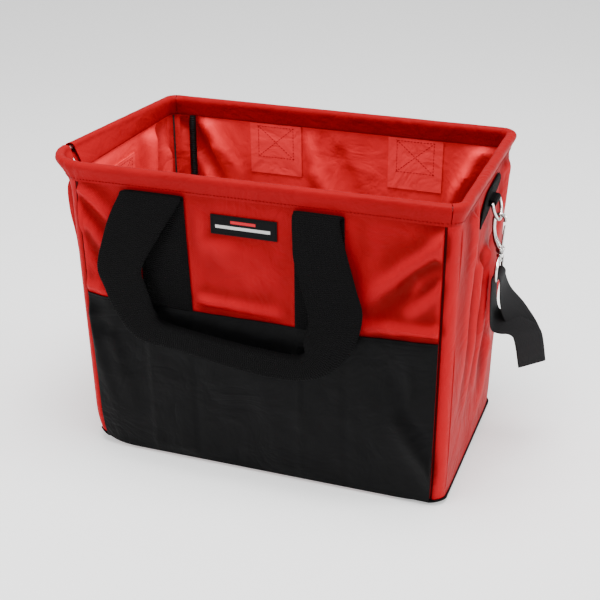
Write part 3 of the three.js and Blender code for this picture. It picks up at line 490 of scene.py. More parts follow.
def crumple(side, along, z):
    """Small uneven waves of the cloth, in millimetres."""
    first = SIDE_NAMES.index(side) * SIDE_SEED
    waves = []
    for a, b in zip(np.broadcast_to(along, z.shape), z):
        spots = [(tall, Vector((a / wide, b / high, first + seed))) for tall, wide, high, seed in CRUMPLES]
        waves.append(sum(tall * noise.noise(spot) for tall, spot in spots))
    return np.array(waves)


def emboss(side, along, z):
    """The strips run on under the black panels and lift them a little."""
    lift = np.zeros(len(z))
    if side in ("front", "back"):
        for centre in STRIP_CENTRES:
            inside = (WEBBING_WIDTH + EMBOSS_EDGE) / 2 - np.abs(along - centre)
            lift += EMBOSS * smooth(inside / EMBOSS_EDGE)
    return lift * smooth((PANEL_TOP + EMBOSS_END / 2 - z) / EMBOSS_END)


print("waves at three heights", crumple("front", 0, np.array([50, 150, 250])).round(2))


# %% Relief of a wall
def wall_relief(side, along, z):
    """How far the cloth stands out from the plain box: waves, folds, belly and ridges."""
    half = box_halves(side, z)[0]
    share = along / half
    rise = z / RIM_HEIGHT
    relief = crumple(side, along, z)
    for name, along0, rise0, along1, rise1, width, depth, sharp in FOLDS:
        if name != side:
            continue
        dx, dz = (along1 - along0) * half, (rise1 - rise0) * RIM_HEIGHT
        px, pz = (share - along0) * half, (rise - rise0) * RIM_HEIGHT
        t = np.clip((px * dx + pz * dz) / (dx * dx + dz * dz), 0, 1)
        away = np.hypot(px - t * dx, pz - t * dz) / (width * RIM_HEIGHT * (1 + t * FOLD_SPREAD))
        away = np.sqrt(away**2 + FOLD_ROUND**2) - FOLD_ROUND
        fade = (1 - FOLD_TAPER * t) * (1 - t**4)
        relief = relief + FOLD_DEPTH * depth * fade * np.exp(-np.abs(away) ** sharp)
    for name, start, end, bottom, top in SEWN:
        if name == side:
            outside = np.maximum.reduce([start - along, along - end, bottom - z, z - top])
            relief = relief * smooth(outside / SEWN_FADE)
    room = np.where(along > 0, half - POST_INSET - 2 * POST_RADIUS - along, half + along)
    seam = smooth((half - EDGE_RADIUS / 2 - np.abs(along)) / SEAM_FADE)
    near_edge = np.where(relief > 0, seam, smooth(room / SEWN_FADE))
    near_foot = smooth((z - WALL_FOOT) / SEWN_FADE)
    near_hem = smooth((HEM_BOTTOM - z) / SEAM_FADE)
    belly = BELLY * np.maximum(0, 1 - share * share) * np.sin(np.pi * np.minimum(1, rise))
    sewn = emboss(side, along, z)
    return relief * near_edge * near_foot * near_hem + (belly * near_hem + sewn) * near_foot


print("relief at three heights", wall_relief("front", np.full(3, 120.0), np.array([50, 150, 250])).round(1))


# %% Foot and rim
def settle(points):
    """The corners of the foot curl up and in, most of all the front left one."""
    low = np.clip(1 - points[:, 2] / CURL_HEIGHT, 0, 1) ** 2
    for x, y, lift in FOOT_CURL:
        share = np.exp(-(np.hypot(points[:, 0] - x, points[:, 1] - y) / CURL_REACH) ** 2) * low
        way = (-math.copysign(CURL_IN, x), -math.copysign(CURL_IN, y), 1)
        points = points + np.outer(share * lift, way)
    return points


def rim_arc(corner):
    """Radius and centre of the rim's bend at a corner."""
    wide, deep, bend = RIM_CORNERS[corner]
    radius = bend * RIM_BEND
    x, y = wide * RIM_WIDTH / 2, deep * RIM_DEPTH / 2
    return radius, np.array([x - math.copysign(radius, x), y - math.copysign(radius, y)])


def rim_on_side(side, along):
    """The rim above a place on a side; near the ends the corner arcs start early."""
    run, face = map(np.array, SIDES[side])
    after = SIDE_NAMES[(SIDE_NAMES.index(side) + 1) % 4]
    ends = [centre + radius * face for radius, centre in map(rim_arc, (side, after))]
    start, end = (point @ run for point in ends)
    straight = float(box_halves(side, RIM_HEIGHT)[0]) - EDGE_RADIUS
    knee = RIM_KNEE * straight
    past = max(0.0, abs(along) - knee) / (straight - knee)
    kept = max(-knee, min(knee, along))
    above_it = kept + ((start if along < 0 else end) - kept) * past
    return ends[0] + (ends[1] - ends[0]) * (above_it - start) / (end - start)


print("rim above the middle of the front", rim_on_side("front", 0).round(1))


# %% A point of the cloth
def wall_point(column, z, offset, plain=False):
    """Points of a column of the cloth at heights z: column is (side, along) or (side, None, facing)."""
    z = np.asarray(z, float)
    flare = np.clip((z - FLARE_START) / (RIM_HEIGHT - FLARE_START), 0, 1) ** 2
    side = column[0]
    run, face = map(np.array, SIDES[side])
    half, away = box_halves(side, z)
    if column[1] is None:
        radius, centre = rim_arc(side)
        facing = np.array(column[2])
        middle = np.outer(half - EDGE_RADIUS, -run) + np.outer(away - EDGE_RADIUS, face)
        box = middle + EDGE_RADIUS * facing
        rim = centre + radius * facing
        face = facing
    else:
        along = column[1] * half / float(box_halves(side, RIM_HEIGHT)[0])
        out = away + (0 if plain else wall_relief(side, along, z))
        box = np.outer(along, run) + np.outer(out, face)
        rim = rim_on_side(side, column[1])
    place = box + (rim - box) * flare[:, None] + np.multiply.outer(np.broadcast_to(offset, z.shape), face)
    return settle(np.column_stack([place, z]))


print("front middle at 200 mm", wall_point(("front", 0), [200], 0).round(1))

# %% [markdown]
# ## Mesh helpers
# Most pieces are skins: a grid of points, closed across like a tube or a flat ribbon, that runs along
# the piece and may meet its own start. A flat sheet with a Solidify modifier could do for some of them,
# but a closed skin has its own inside and outside, and its UV map can hold the distance along the cloth
# in metres, which the weave and the ribs need.


# %% Small helpers
def new_piece(name, mesh, *finishes):
    """An object of a mesh, in the scene, with its materials."""
    for finish in finishes:
        mesh.materials.append(finish)
    piece = bpy.data.objects.new(name, mesh)
    bpy.context.scene.collection.objects.link(piece)
    return piece


def signed_volume(mesh):
    """Below zero if the faces of a closed mesh look inwards."""
    mesh.calc_loop_triangles()
    points = np.empty(len(mesh.vertices) * 3)
    mesh.vertices.foreach_get("co", points)
    corners = np.empty(len(mesh.loop_triangles) * 3, np.int32)
    mesh.loop_triangles.foreach_get("vertices", corners)
    a, b, c = points.reshape(-1, 3)[corners.reshape(-1, 3)].transpose(1, 0, 2)
    return float(np.einsum("ij,ij->", a, np.cross(b, c)) / 6)


def spread(values, count):
    """Values of a short table, spread smoothly over count steps by a Catmull-Rom curve."""
    table = np.asarray(values, float)
    place = np.linspace(0, len(table) - 1, count)
    i = np.clip(place.astype(int), 0, len(table) - 2)
    t = (place - i)[:, None] if table.ndim > 1 else place - i
    p = [table[np.clip(i + k, 0, len(table) - 1)] for k in (-1, 0, 1, 2)]
    return 0.5 * (
        2 * p[1] + (p[2] - p[0]) * t + (2 * p[0] - 5 * p[1] + 4 * p[2] - p[3]) * t**2
        + (3 * p[1] - p[0] - 3 * p[2] + p[3]) * t**3
    )


def run_length(points):
    """How far along a line of points each of them is."""
    steps = np.linalg.norm(np.diff(points, axis=0), axis=1)
    return np.concatenate([[0], np.cumsum(steps)])


print("a short table, spread", spread([0, 1, 0], 5))


# %% Skins
def cell_faces(rows, across, ring, strip_caps):
    """Four-sided faces between the rows, and the two ends."""
    faces = []
    for i in range(rows if ring else rows - 1):
        for k in range(across):
            a, b = i * across + k, i * across + (k + 1) % across
            c, d = ((i + 1) % rows) * across + (k + 1) % across, ((i + 1) % rows) * across + k
            faces.append((a, b, c, d))
    if not ring:
        last = (rows - 1) * across
        if strip_caps:
            for k in range(across // 2 - 1):
                quad = (k, k + 1, across - 2 - k, across - 1 - k)
                faces.append(quad[::-1])
                faces.append(tuple(last + i for i in quad))
        else:
            faces.append(tuple(range(across))[::-1])
            faces.append(tuple(last + k for k in range(across)))
    return faces


def skin(name, points, u, v, *finishes, ring=False, strip_caps=True, sharp=40):
    """A closed skin over points[row, across], in millimetres, with u and v of the same shape."""
    points = np.asarray(points, float)
    rows, across = points.shape[:2]
    faces = cell_faces(rows, across, ring, strip_caps)
    mesh = bpy.data.meshes.new(name)
    mesh.from_pydata((points.reshape(-1, 3) * MM).tolist(), [], faces)
    flat = np.column_stack([np.broadcast_to(side, (rows, across)).ravel() for side in (u, v)])
    uv = mesh.uv_layers.new(name="cloth")
    corners = np.empty(len(mesh.loops), np.int32)
    mesh.loops.foreach_get("vertex_index", corners)
    uv.data.foreach_set("uv", (flat[corners] * MM).ravel().astype(np.float32))
    if signed_volume(mesh) < 0:
        mesh.flip_normals()
    mesh.polygons.foreach_set("use_smooth", [True] * len(mesh.polygons))
    mesh.set_sharp_from_angle(angle=math.radians(sharp))
    mesh.update()
    return new_piece(name, mesh, *finishes)


print("faces of a short flat strip", len(cell_faces(4, 6, False, True)))

# %% Crests and valleys, painted as highlight and shade
# Columns to each side that are compared, height that counts as a full crest, most painted highlight or
# shade that it adds
CREST_REACH, CREST_SIZE, CREST_SHADING_SHARE = 3, 1.4, 0.34
CREST_BLURS = 2


def mark_crest_shading(piece, points, facing, ring=False):
    """Keeps on each vertex how far the cloth stands out from its neighbours. The nylon paints a crest paler
    and a valley darker: painted highlight and painted shade.

    points[column, row] go up one face of the cloth and down the other; facing[column] is out from it.
    """
    reach = CREST_REACH
    pad = ((reach, reach), (0, 0), (0, 0))
    wide = np.pad(points, pad, mode="wrap" if ring else "edge")
    beside = (wide[: -2 * reach] + wide[2 * reach :]) / 2
    half = points.shape[1] // 2
    stand = points - beside
    for face in (slice(0, half), slice(half, 2 * half)):
        tall = np.pad(points[:, face], ((0, 0), (reach, reach), (0, 0)), mode="edge")
        stand[:, face] += points[:, face] - (tall[:, : -2 * reach] + tall[:, 2 * reach :]) / 2
    crest_shading = np.einsum("ckj,cj->ck", stand[..., :2], facing)
    crest_shading[:, half:] *= -1
    for _ in range(CREST_BLURS):
        crest_shading[1:-1] = (crest_shading[:-2] + 2 * crest_shading[1:-1] + crest_shading[2:]) / 4
        crest_shading[:, 1:-1] = (crest_shading[:, :-2] + 2 * crest_shading[:, 1:-1] + crest_shading[:, 2:]) / 4
    layer = piece.data.attributes.new("crest_shading", "FLOAT", "POINT")
    layer.data.foreach_set("value", (np.tanh(crest_shading / CREST_SIZE) * CREST_SHADING_SHARE).ravel().astype(np.float32))


print("a crest adds up to", CREST_SHADING_SHARE)

# %% [markdown]
# A ribbon is what every webbing piece is: two edges, a thickness, and round edges. A curve with a bevel
# could make one, but it can't widen and turn freely, and webbing does both when it folds over. Two edge
# lines say exactly where it lies. Where it is folded in half, as in the grip, a groove runs between the
# two edges that lie together.


# %% Ribbons
RIBBON_STEPS = 14


def ribbon(name, near, far, thick, finish, groove=None, steps=RIBBON_STEPS):
    """A ribbon between two edges, near[row] and far[row], in millimetres."""
    near, far = np.asarray(near, float), np.asarray(far, float)
    thick = np.broadcast_to(thick, len(near))
    middle = (near + far) / 2
    normal = np.cross(far - near, np.gradient(middle, axis=0))
    normal /= np.linalg.norm(normal, axis=1)[:, None]
    share = np.sin(np.linspace(-math.pi / 2, math.pi / 2, steps + 1))
    body = np.sqrt(np.maximum(0, 1 - np.abs(share) ** 10))
    s = np.concatenate([share, share[-2:0:-1]])
    h = np.concatenate([body, -body[-2:0:-1]]) / 2
    points = (
        near[:, None] + (far - near)[:, None] * ((s + 1) / 2)[None, :, None]
        + normal[:, None] * (h[None, :] * thick[:, None])[..., None]
    )
    if groove is not None:
        depth = np.broadcast_to(groove, len(near))
        points[:, steps] += ((near - far) / np.linalg.norm(far - near, axis=1)[:, None]) * depth[:, None]
    width = np.linalg.norm(far - near, axis=1)
    u = s[None, :] * width[:, None] / 2
    v = run_length(middle)[:, None]
    return skin(name, points, u, v, finish, strip_caps=False, sharp=50)


print("steps across a ribbon", RIBBON_STEPS)

# %% [markdown] Each piece rides on a body of the packed model, so that it moves with the gate or the
# ring when a joint turns. It also names the CAD nodes it stands for, which are then hidden.


# %% Riding and replacing
def bag_piece(piece, slot, *nodes, body="bag"):
    """The piece rides on a body and stands for CAD nodes."""
    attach(piece, body)
    if nodes:
        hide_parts(*nodes)
    return piece


print("CAD nodes to stand for", len(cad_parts))

# %% [markdown]
# ## Walls
# The walls are cut from red nylon and sewn together at the corners. Their lining side is painted paler than
# the outside, as painted light on the inside. They could be four sheets, but then light would leak through
# the seams. One skin makes them all: up the outside, over at the hem, and down the inside. The columns are
# close together next to the corner seams, where the side cloth ends in a narrow groove painted dark as
# painted shade, and wider apart elsewhere, to save triangles.

# %% Columns round the box
CORNER_STEPS = 8
GRID = 3.0
SEAM, SEAM_COLUMNS, END_GAP = 1.4, 5, 0.6


def steps_between(stops):
    """The stops, with even steps of about GRID between them."""
    stops = sorted(stops)
    out = []
    for start, end in zip(stops, stops[1:]):
        count = max(1, round((end - start) / GRID))
        out += [start + (end - start) * k / count for k in range(count)]
    return out + [stops[-1]]


def straight_half(side):
    return float(box_halves(side, RIM_HEIGHT)[0]) - EDGE_RADIUS


def side_columns(side):
    """Columns of the flat part of a side, closer together at its ends."""
    straight = straight_half(side) - END_GAP
    stops = [sign * (straight - k * SEAM) for sign in (-1, 1) for k in range(SEAM_COLUMNS)]
    return [(side, along) for along in steps_between(stops)]


def corner_columns(side):
    """Columns of the bend before a side, each with the way it faces."""
    before = np.array(SIDES[SIDE_NAMES[(SIDE_NAMES.index(side) + 3) % 4]][1])
    after = np.array(SIDES[side][1])
    turns = [math.pi / 2 * k / CORNER_STEPS for k in range(CORNER_STEPS + 1)]
    return [(side, None, tuple(before * math.cos(t) + after * math.sin(t))) for t in turns]


def column_facing(column):
    return column[2] if column[1] is None else SIDES[column[0]][1]


# The front and back walls are sewn to the side walls at the start of each corner's bend: a groove there,
# with painted shade on its outer faces
SEAM_DIPS = {0: 1.6, 1: 1.1}
SEAMS = {}
for place, dip in SEAM_DIPS.items():
    for side in SIDE_NAMES:
        end = -1 - place if side in ("front", "back") else place
        SEAMS[side, corner_columns(side)[end][2]] = dip
COLUMNS = [column for side in SIDE_NAMES for column in (*corner_columns(side), *side_columns(side))]
WALL_ROWS = np.array(steps_between([WALL_FOOT, PANEL_TOP, LABEL_TOP, HEM_BOTTOM + 2]))
print("columns", len(COLUMNS), "rows", len(WALL_ROWS))


# %% Wall skin
SEAM_FADE_IN = 20


def wall_skin():
    """The walls, with the lining on the inside painted paler as painted light, and painted shade in the
    seams.
    """
    half = CLOTH / 2
    sections = []
    for column in COLUMNS:
        dip = SEAMS.get((column[0], column[-1]), 0)
        outer = wall_point(column, WALL_ROWS, half - dip * smooth((FLARE_START - WALL_ROWS) / SEAM_FADE_IN))
        inner = wall_point(column, WALL_ROWS[::-1], -half)
        sections.append(np.vstack([outer, inner]))
    sections = np.array(sections)
    round_it = run_length(sections[:, 0, :])[:, None]
    heights = np.concatenate([WALL_ROWS, WALL_ROWS[::-1]])[None, :]
    piece = skin("walls", sections, round_it, heights, RED_NYLON, RED_LINING_PAINTED_LIGHT, SEAM_PAINTED_SHADE, ring=True)
    mark_crest_shading(piece, sections, np.array([column_facing(c) for c in COLUMNS]), ring=True)
    rows = len(WALL_ROWS)
    inside = [0] * len(piece.data.polygons)
    across = 2 * rows
    for i, column in enumerate(COLUMNS):
        for k in range(rows, across - 1):
            inside[i * across + k] = 1
        # Outer cells between two grooved columns take the seam colour: painted shade in the groove.
        after = COLUMNS[(i + 1) % len(COLUMNS)]
        if all((c[0], c[-1]) in SEAMS for c in (column, after)):
            for k in range(rows - 1):
                inside[i * across + k] = 2
    piece.data.polygons.foreach_set("material_index", inside)
    return piece


walls = bag_piece(wall_skin(), "red_nylon", "bag_walls")
print("walls", len(walls.data.polygons), "faces")

# %% [markdown]
# ## Hem sleeves
# The hem is a sleeve of cloth over the wire, sewn shut just below it. Each side has its own sleeve, and
# the wire shows where two of them end. It could be a thick rim on the walls, but then the ends would not
# be open. So a sleeve is a skin too: its outline goes out over the wire and back under itself, and it is
# carried along the rim, with small waves where the real cloth is gathered.

# %% Rim path
# Outline of the sleeve: out from the wire in shares of its radius, up in shares of the hem's height
HEM_SECTION = [
    (0.22, -1), (0.5, -0.6), (1, -0.12), (0.9, 0.18), (0.42, 0.3), (-0.18, 0.32),
    (-0.72, 0.25), (-1, 0.02), (-0.85, -0.5), (-0.6, -1), (-0.24, -1.07),
]
SLEEVE = ROD_RADIUS + CLEARANCE + HEM_PLY
rim_points = np.array([wall_point(c, [RIM_HEIGHT], 0)[0] for c in COLUMNS])
rim_places = run_length(np.vstack([rim_points, rim_points[:1]]))
RIM_TOTAL = rim_places[-1]


def rim_place(side, share):
    """How far along the rim a share of a side's half length is."""
    along = share * float(box_halves(side, RIM_HEIGHT)[0])
    x, y = rim_on_side(side, along)
    distances = np.hypot(rim_points[:, 0] - x, rim_points[:, 1] - y)
    return float(rim_places[int(np.argmin(distances))])


print("rim length", round(RIM_TOTAL), "mm")


# %% Waves of the hem
# Waves along the hem: height, length, seed. Puckers lie close together near the front left corner.
HEM_WAVES = [(0.35, 13, 0), (0.5, 43, 5)]
PUCKER_HEIGHT, PUCKER_LENGTH, PUCKER_REACH = 0.8, 1.9, 16
PUCKERS_AT = rim_places[CORNER_STEPS] - 14
RUFFLE, RUFFLE_REACH = 0.16, 5
OUTLINE_STEPS, SLEEVE_PLY = 34, 0.9
# Below this share of the hem's height the waves are held by the seam
HELD_BELOW, HELD_SHARE = -0.9, 0.3


def hem_wave(place):
    """How far the sleeve's cloth stands out or in, at a distance along the rim."""
    waves = sum(tall * noise.noise(Vector((place / long, seed, 0))) for tall, long, seed in HEM_WAVES)
    near = math.exp(-((place - PUCKERS_AT) / PUCKER_REACH) ** 2)
    return waves + math.sin(place / PUCKER_LENGTH) * PUCKER_HEIGHT * near


print("wave at the puckers", round(hem_wave(PUCKERS_AT), 2))


# %% Sleeves
def sleeve(name, start, end):
    """A sleeve from one place along the rim to another."""
    count = int((end - start) / GRID)
    outline = spread(HEM_SECTION, OUTLINE_STEPS)
    rows = []
    for place in np.linspace(start, end, count):
        share = place % RIM_TOTAL
        i = np.searchsorted(rim_places, share, side="right") - 1
        t = (share - rim_places[i]) / max(1e-9, rim_places[i + 1] - rim_places[i])
        one, two = COLUMNS[i % len(COLUMNS)], COLUMNS[(i + 1) % len(COLUMNS)]
        ruffle = 1 + RUFFLE * math.exp(-min(place - start, end - place) / RUFFLE_REACH)
        wave = hem_wave(place)
        points = []
        for shrink, order in ((0, outline), (SLEEVE_PLY, outline[::-1])):
            for out, rise in order:
                z = RIM_HEIGHT + rise * (HEM_HEIGHT - shrink)
                held = 1 if rise > HELD_BELOW else HELD_SHARE
                off = out * (SLEEVE * ruffle - shrink) + wave * held
                a = wall_point(one, [z], off, True)[0]
                b = wall_point(two, [z], off, True)[0]
                points.append(a + (b - a) * t)
        rows.append(points)
    rows = np.array(rows)
    v = np.linspace(start, end, count)[:, None]
    outer, inner = rows[0, :OUTLINE_STEPS], rows[0, OUTLINE_STEPS:]
    u = np.concatenate([run_length(outer), run_length(inner)[::-1]])[None, :]
    return skin(name, rows, v, u, RED_NYLON, strip_caps=True)


# Where a side's sleeve ends, in shares of its half length, and half the opening after it, in millimetres
OPENINGS = {"left": (0.8, 3.6), "back": (0.955, 0.5), "front": (0.965, 0.3), "right": (0.93, 0.3)}
windows = {side: rim_place(side, share) for side, (share, _) in OPENINGS.items()}
ends = {}
for i, side in enumerate(SIDE_NAMES):
    before = SIDE_NAMES[i - 1]
    start = windows[before] + OPENINGS[before][1] - (RIM_TOTAL if side == "front" else 0)
    end = windows[side] - OPENINGS[side][1]
    ends[side] = (start, end)
    bag_piece(sleeve(f"hem_{side}", start, end), "red_nylon")
print("sleeves", {side: (round(a), round(b)) for side, (a, b) in ends.items()})

# %% [markdown]
# ## Rim wire
# A steel wire ring keeps the mouth of the bag open. It runs inside the four sleeves and shows in the
# small openings between them. A bevelled curve could make it, but then its mesh has to be converted, and
# a tube of points takes the same path as the sleeves, so the wire lies in the middle of them all round.


# %% Tubes
WIRE_SIDES = 16


def tube(name, path, radius, finish, sides=WIRE_SIDES, ring=False, flat=(1, 1), up=(0, 0, 1)):
    """A round wire along points, in millimetres. flat squeezes it across and along up."""
    path = np.asarray(path, float)
    ahead = (np.roll(path, -1, 0) - np.roll(path, 1, 0)) if ring else np.gradient(path, axis=0)
    ahead /= np.linalg.norm(ahead, axis=1)[:, None]
    radius = np.broadcast_to(radius, len(path))[:, None]
    across = np.cross(ahead, np.array(up, float))
    across /= np.linalg.norm(across, axis=1)[:, None]
    raised = np.cross(across, ahead)
    turns = 2 * math.pi * np.arange(sides) / sides
    points = (
        path[:, None]
        + (across[:, None] * np.cos(turns)[None, :, None] * flat[0]
           + raised[:, None] * np.sin(turns)[None, :, None] * flat[1]) * radius[..., None]
    )
    v = run_length(path)[:, None]
    u = turns[None, :] * radius
    return skin(name, points, u, v, finish, ring=ring, strip_caps=False, sharp=50)


print("sides of a wire", WIRE_SIDES)

# %% Rim wire
rim_wire = tube("rim_wire", rim_points, ROD_RADIUS, STEEL, ring=True)
bag_piece(rim_wire, "bright_steel", "rim_frame")
print("rim wire", len(rim_points), "points")


# %% [markdown]
# ## Black panels and patches
# The lower panels, the label and the inner patches are flat pieces sewn on the walls. They could be
# painted on the walls' material, but their edges have a thickness that catches the light. So each is a
# sheet between two distances from the middle of the cloth, over part of the same columns, and it takes
# every fold from the wall under it.


# %% Sheets sewn on a wall
def panel_top(along):
    """The top line of the black panels, which hangs a little in the middle."""
    return PANEL_TOP + PANEL_SAG * min(1.0, abs(along) / (RIM_WIDTH / 2)) ** 3


def sheet_on_wall(name, columns, bottom, top, inner, outer, finish, tops=None):
    """A sheet over columns of a wall; tops gives each column its own top."""
    level = np.array(steps_between([bottom, top]))
    sections, heights = [], []
    for column, its_top in zip(columns, tops or [top] * len(columns)):
        rows = bottom + (level - bottom) * (its_top - bottom) / (top - bottom)
        sections.append(np.vstack([wall_point(column, rows, inner), wall_point(column, rows[::-1], outer)]))
        heights.append(np.concatenate([rows, rows[::-1]]))
    sections = np.array(sections)
    along = run_length(sections[:, 0, :])[:, None]
    piece = skin(name, sections, along, heights, finish)
    facing = np.array([column_facing(c) for c in columns], float)
    mark_crest_shading(piece, sections, facing if outer > inner > 0 else -facing)
    return piece


def span(side, centre, width):
    """Columns of a part of a side."""
    return [(side, a) for a in steps_between([centre - width / 2, centre + width / 2])]


print("panel's top in the middle and at an end", panel_top(0), panel_top(RIM_WIDTH / 2))

# %% Panels and patches
for side in ("front", "back"):
    after = SIDE_NAMES[(SIDE_NAMES.index(side) + 1) % 4]
    columns = [corner_columns(side)[-1], *side_columns(side), corner_columns(after)[0]]
    tops = [panel_top(RIM_WIDTH if column[1] is None else column[1]) for column in columns]
    panel = sheet_on_wall(
        f"{side}_lower_panel", columns, WALL_FOOT, PANEL_TOP, GAP, GAP + PANEL_THICKNESS, BLACK_NYLON,
        tops=tops,
    )
    bag_piece(panel, "black_nylon", f"{side}_panel")
    for where, centre in zip(("left", "right"), STRIP_CENTRES):
        top = RIM_HEIGHT + HEM_SECTION[-1][1] * HEM_HEIGHT - 2 * CLEARANCE
        patch = sheet_on_wall(
            f"{side}_{where}_patch", span(side, centre, PATCH_WIDTH), PATCH_BOTTOM, top,
            -GAP - PATCH_THICKNESS, -GAP, RED_PATCH_PAINTED_LIGHT,
        )
        bag_piece(patch, "red_nylon", f"patch_{side}_{where}")
for side in ("right", "left"):
    patch = sheet_on_wall(
        f"{side}_patch", span(side, RING_CENTRE, PATCH_WIDTH), SIDE_PATCH_TOP - SIDE_PATCH_HEIGHT,
        SIDE_PATCH_TOP, -GAP - PATCH_THICKNESS, -GAP, RED_PATCH_PAINTED_LIGHT,
    )
    bag_piece(patch, "red_nylon", f"patch_{side}")

# %% [markdown]
# ## Bottom
# A stiff black panel under the walls keeps the bag upright, and only its edge shows, as a thin dark line.
# A box with a Bevel modifier could do, but the corners of the foot curl up with the cloth. So the edge is
# carried round the same corners and settled by the same function as the walls, and closed by two fans.

# %% Bottom
# Its edge: out from the lip, and up; from the middle of the edge round below and above
BASE_EDGE = [(0, 0.9), (-0.5, 0.25), (-1.6, 0), (-1.6, 3), (-0.5, 2.75), (0, 2.1)]
EDGE_LINKS = [(2, 1), (1, 0), (0, 5), (5, 4), (4, 3)]


def bottom_piece():
    """The stiff black bottom: a rounded slab with a soft edge."""
    sections = []
    for side in SIDE_NAMES:
        run, face = map(np.array, SIDES[side])
        half, away = box_halves(side, 0)
        centre = -run * (half - EDGE_RADIUS) + face * (away - EDGE_RADIUS)
        for _, _, facing in corner_columns(side):
            reach = EDGE_RADIUS + BASE_LIP
            section = [[*(centre + np.array(facing) * (reach + out)), z] for out, z in BASE_EDGE]
            sections.append(settle(np.array(section)))
    count, across = len(sections), len(BASE_EDGE)
    points = [*np.concatenate(sections).tolist(), [0, 0, 0], [0, 0, BASE_THICKNESS]]
    faces = []
    for i in range(count):
        j = (i + 1) % count
        for a, b in EDGE_LINKS:
            faces.append((i * across + a, i * across + b, j * across + b, j * across + a))
        faces.append((i * across + 2, j * across + 2, count * across))
        faces.append((j * across + 3, i * across + 3, count * across + 1))
    mesh = bpy.data.meshes.new("bottom")
    mesh.from_pydata([[c * MM for c in p] for p in points], [], faces)
    uv = mesh.uv_layers.new(name="cloth")
    for loop, spot in zip(mesh.loops, uv.data):
        place = mesh.vertices[loop.vertex_index].co
        spot.uv = (place.x, place.y)
    if signed_volume(mesh) < 0:
        mesh.flip_normals()
    mesh.polygons.foreach_set("use_smooth", [True] * len(mesh.polygons))
    mesh.set_sharp_from_angle(angle=math.radians(50))
    return new_piece("bottom", mesh, BLACK_NYLON)


bottom_slab = bag_piece(bottom_piece(), "black_nylon", "base_panel")
print("bottom", [round(x, 3) for x in bottom_slab.dimensions])

# %% [markdown]
# ## Label
# A small black woven label is sewn near the top of the front. It bears a red and a pale bar, which are
# woven in, not printed. A picture could be laid over it, but two bars are easily measured on the UV map,
# in millimetres across and up, and threads of the weave break up their edges a little.

# %% Label
# From and to across the label, from and to up it, in millimetres
RED_BAR = (21, 47, 12.4, 15.4)
PALE_BAR = (5, 62, 6.6, 9.8)


def label_finish():
    """Bare black woven label with a plain red and a plain pale bar, placed on its UV map."""
    shade = Shade("woven_label")
    across, rise, _ = shade.split(shade.node("ShaderNodeTexCoord", out=2))
    across = across * 1000
    rise = rise * 1000 - (LABEL_TOP - LABEL_HEIGHT)
    threads = weave(shade, 0.0005)

    def bar(x0, x1, z0, z1):
        return across.above(x0) * (1 - across.above(x1)) * rise.above(z0) * (1 - rise.above(z1))

    red_bar = bar(*RED_BAR) * (threads * 0.3 + 0.7)
    pale_bar = bar(*PALE_BAR) * (threads * 0.35 + 0.6)
    colour = shade.mix(red_bar, (0.003, 0.003, 0.0035, 1), (0.6, 0.02, 0.03, 1))
    colour = shade.mix(pale_bar, colour, (0.7, 0.68, 0.66, 1))
    shade.set(
        Base_Color=colour,
        Roughness=threads * 0.15 + 0.6,
        Normal=shade.bump(threads, 0.4, 0.0003),
        Specular_IOR_Level=0.08,
    )
    return shade.material


label = sheet_on_wall(
    "woven_label", span("front", LABEL_CENTRE, LABEL_WIDTH), LABEL_TOP - LABEL_HEIGHT, LABEL_TOP,
    GAP, GAP + LABEL_THICKNESS, label_finish(),
)
bag_piece(label, "woven_label", "label")
print("label", [round(x, 3) for x in label.dimensions])

# %% [markdown]
# ## Handles
# Each handle is one length of webbing: a strip sewn up the wall, folded over at its top, a free leg that
# falls forward and aside, and a grip where the webbing is folded in half. It could be hung by a cloth
# simulation, but stiff webbing keeps the bends of its use, and those are read from the photograph. So
# its two edges follow a table: how far across from the strip, how far down, how far off the wall, and
# how thick. A smooth curve through few rows gives the slow bends of heavy webbing.

# %% Handle tables
HANDLE_DROP = 150
GRIP_STAND_OFF = 18
GRIP_THICKNESS = 9
STRIP_LEAN = 4
# outer edge across, down; inner edge across, down; stand-off; thickness; groove
LEFT_LEG = [
    (-0.5, 0.03, 0.5, 0.03, 0.13, 0.2, 0),
    (-0.6, -0.01, 0.5, -0.01, 0.15, 0.2, 0),
    (-0.74, -0.022, 0.49, -0.022, 0.24, 0.2, 0),
    (-0.84, -0.012, 0.47, -0.012, 0.33, 0.2, 0),
    (-0.88, 0.02, 0.44, 0.02, 0.37, 0.2, 0),
    (-1.06, 0.14, 0.24, 0.13, 0.5, 0.2, 0),
    (-1.22, 0.28, 0.0, 0.26, 0.62, 0.2, 0),
    (-1.42, 0.53, -0.4, 0.5, 0.8, 0.21, 0),
    (-1.3, 0.68, -0.34, 0.62, 0.84, 0.24, 0),
    (-1.13, 0.82, -0.24, 0.72, 0.9, 0.3, 0),
    (-0.86, 0.96, -0.14, 0.8, 0.96, 0.5, 0.4),
    (-0.48, 1.04, -0.02, 0.86, 1, 0.8, 1),
]
RIGHT_LEG = [
    (0.5, 0.03, -0.5, 0.03, 0.13, 0.2, 0),
    (0.5, -0.01, -0.5, -0.01, 0.15, 0.2, 0),
    (0.48, -0.022, -0.5, -0.022, 0.24, 0.2, 0),
    (0.46, -0.012, -0.5, -0.01, 0.33, 0.2, 0),
    (0.44, 0.02, -0.52, 0.02, 0.37, 0.2, 0),
    (0.52, 0.13, -0.5, 0.15, 0.5, 0.2, 0),
    (0.64, 0.25, -0.46, 0.3, 0.62, 0.2, 0),
    (0.82, 0.44, -0.28, 0.5, 0.76, 0.21, 0),
    (0.96, 0.6, -0.14, 0.68, 0.86, 0.26, 0),
    (0.86, 0.8, -0.2, 0.8, 1.0, 0.45, 0),
    (0.62, 0.94, -0.22, 0.86, 1.08, 0.65, 0.5),
    (0.2, 1.08, -0.2, 0.92, 1.06, 0.85, 1),
]
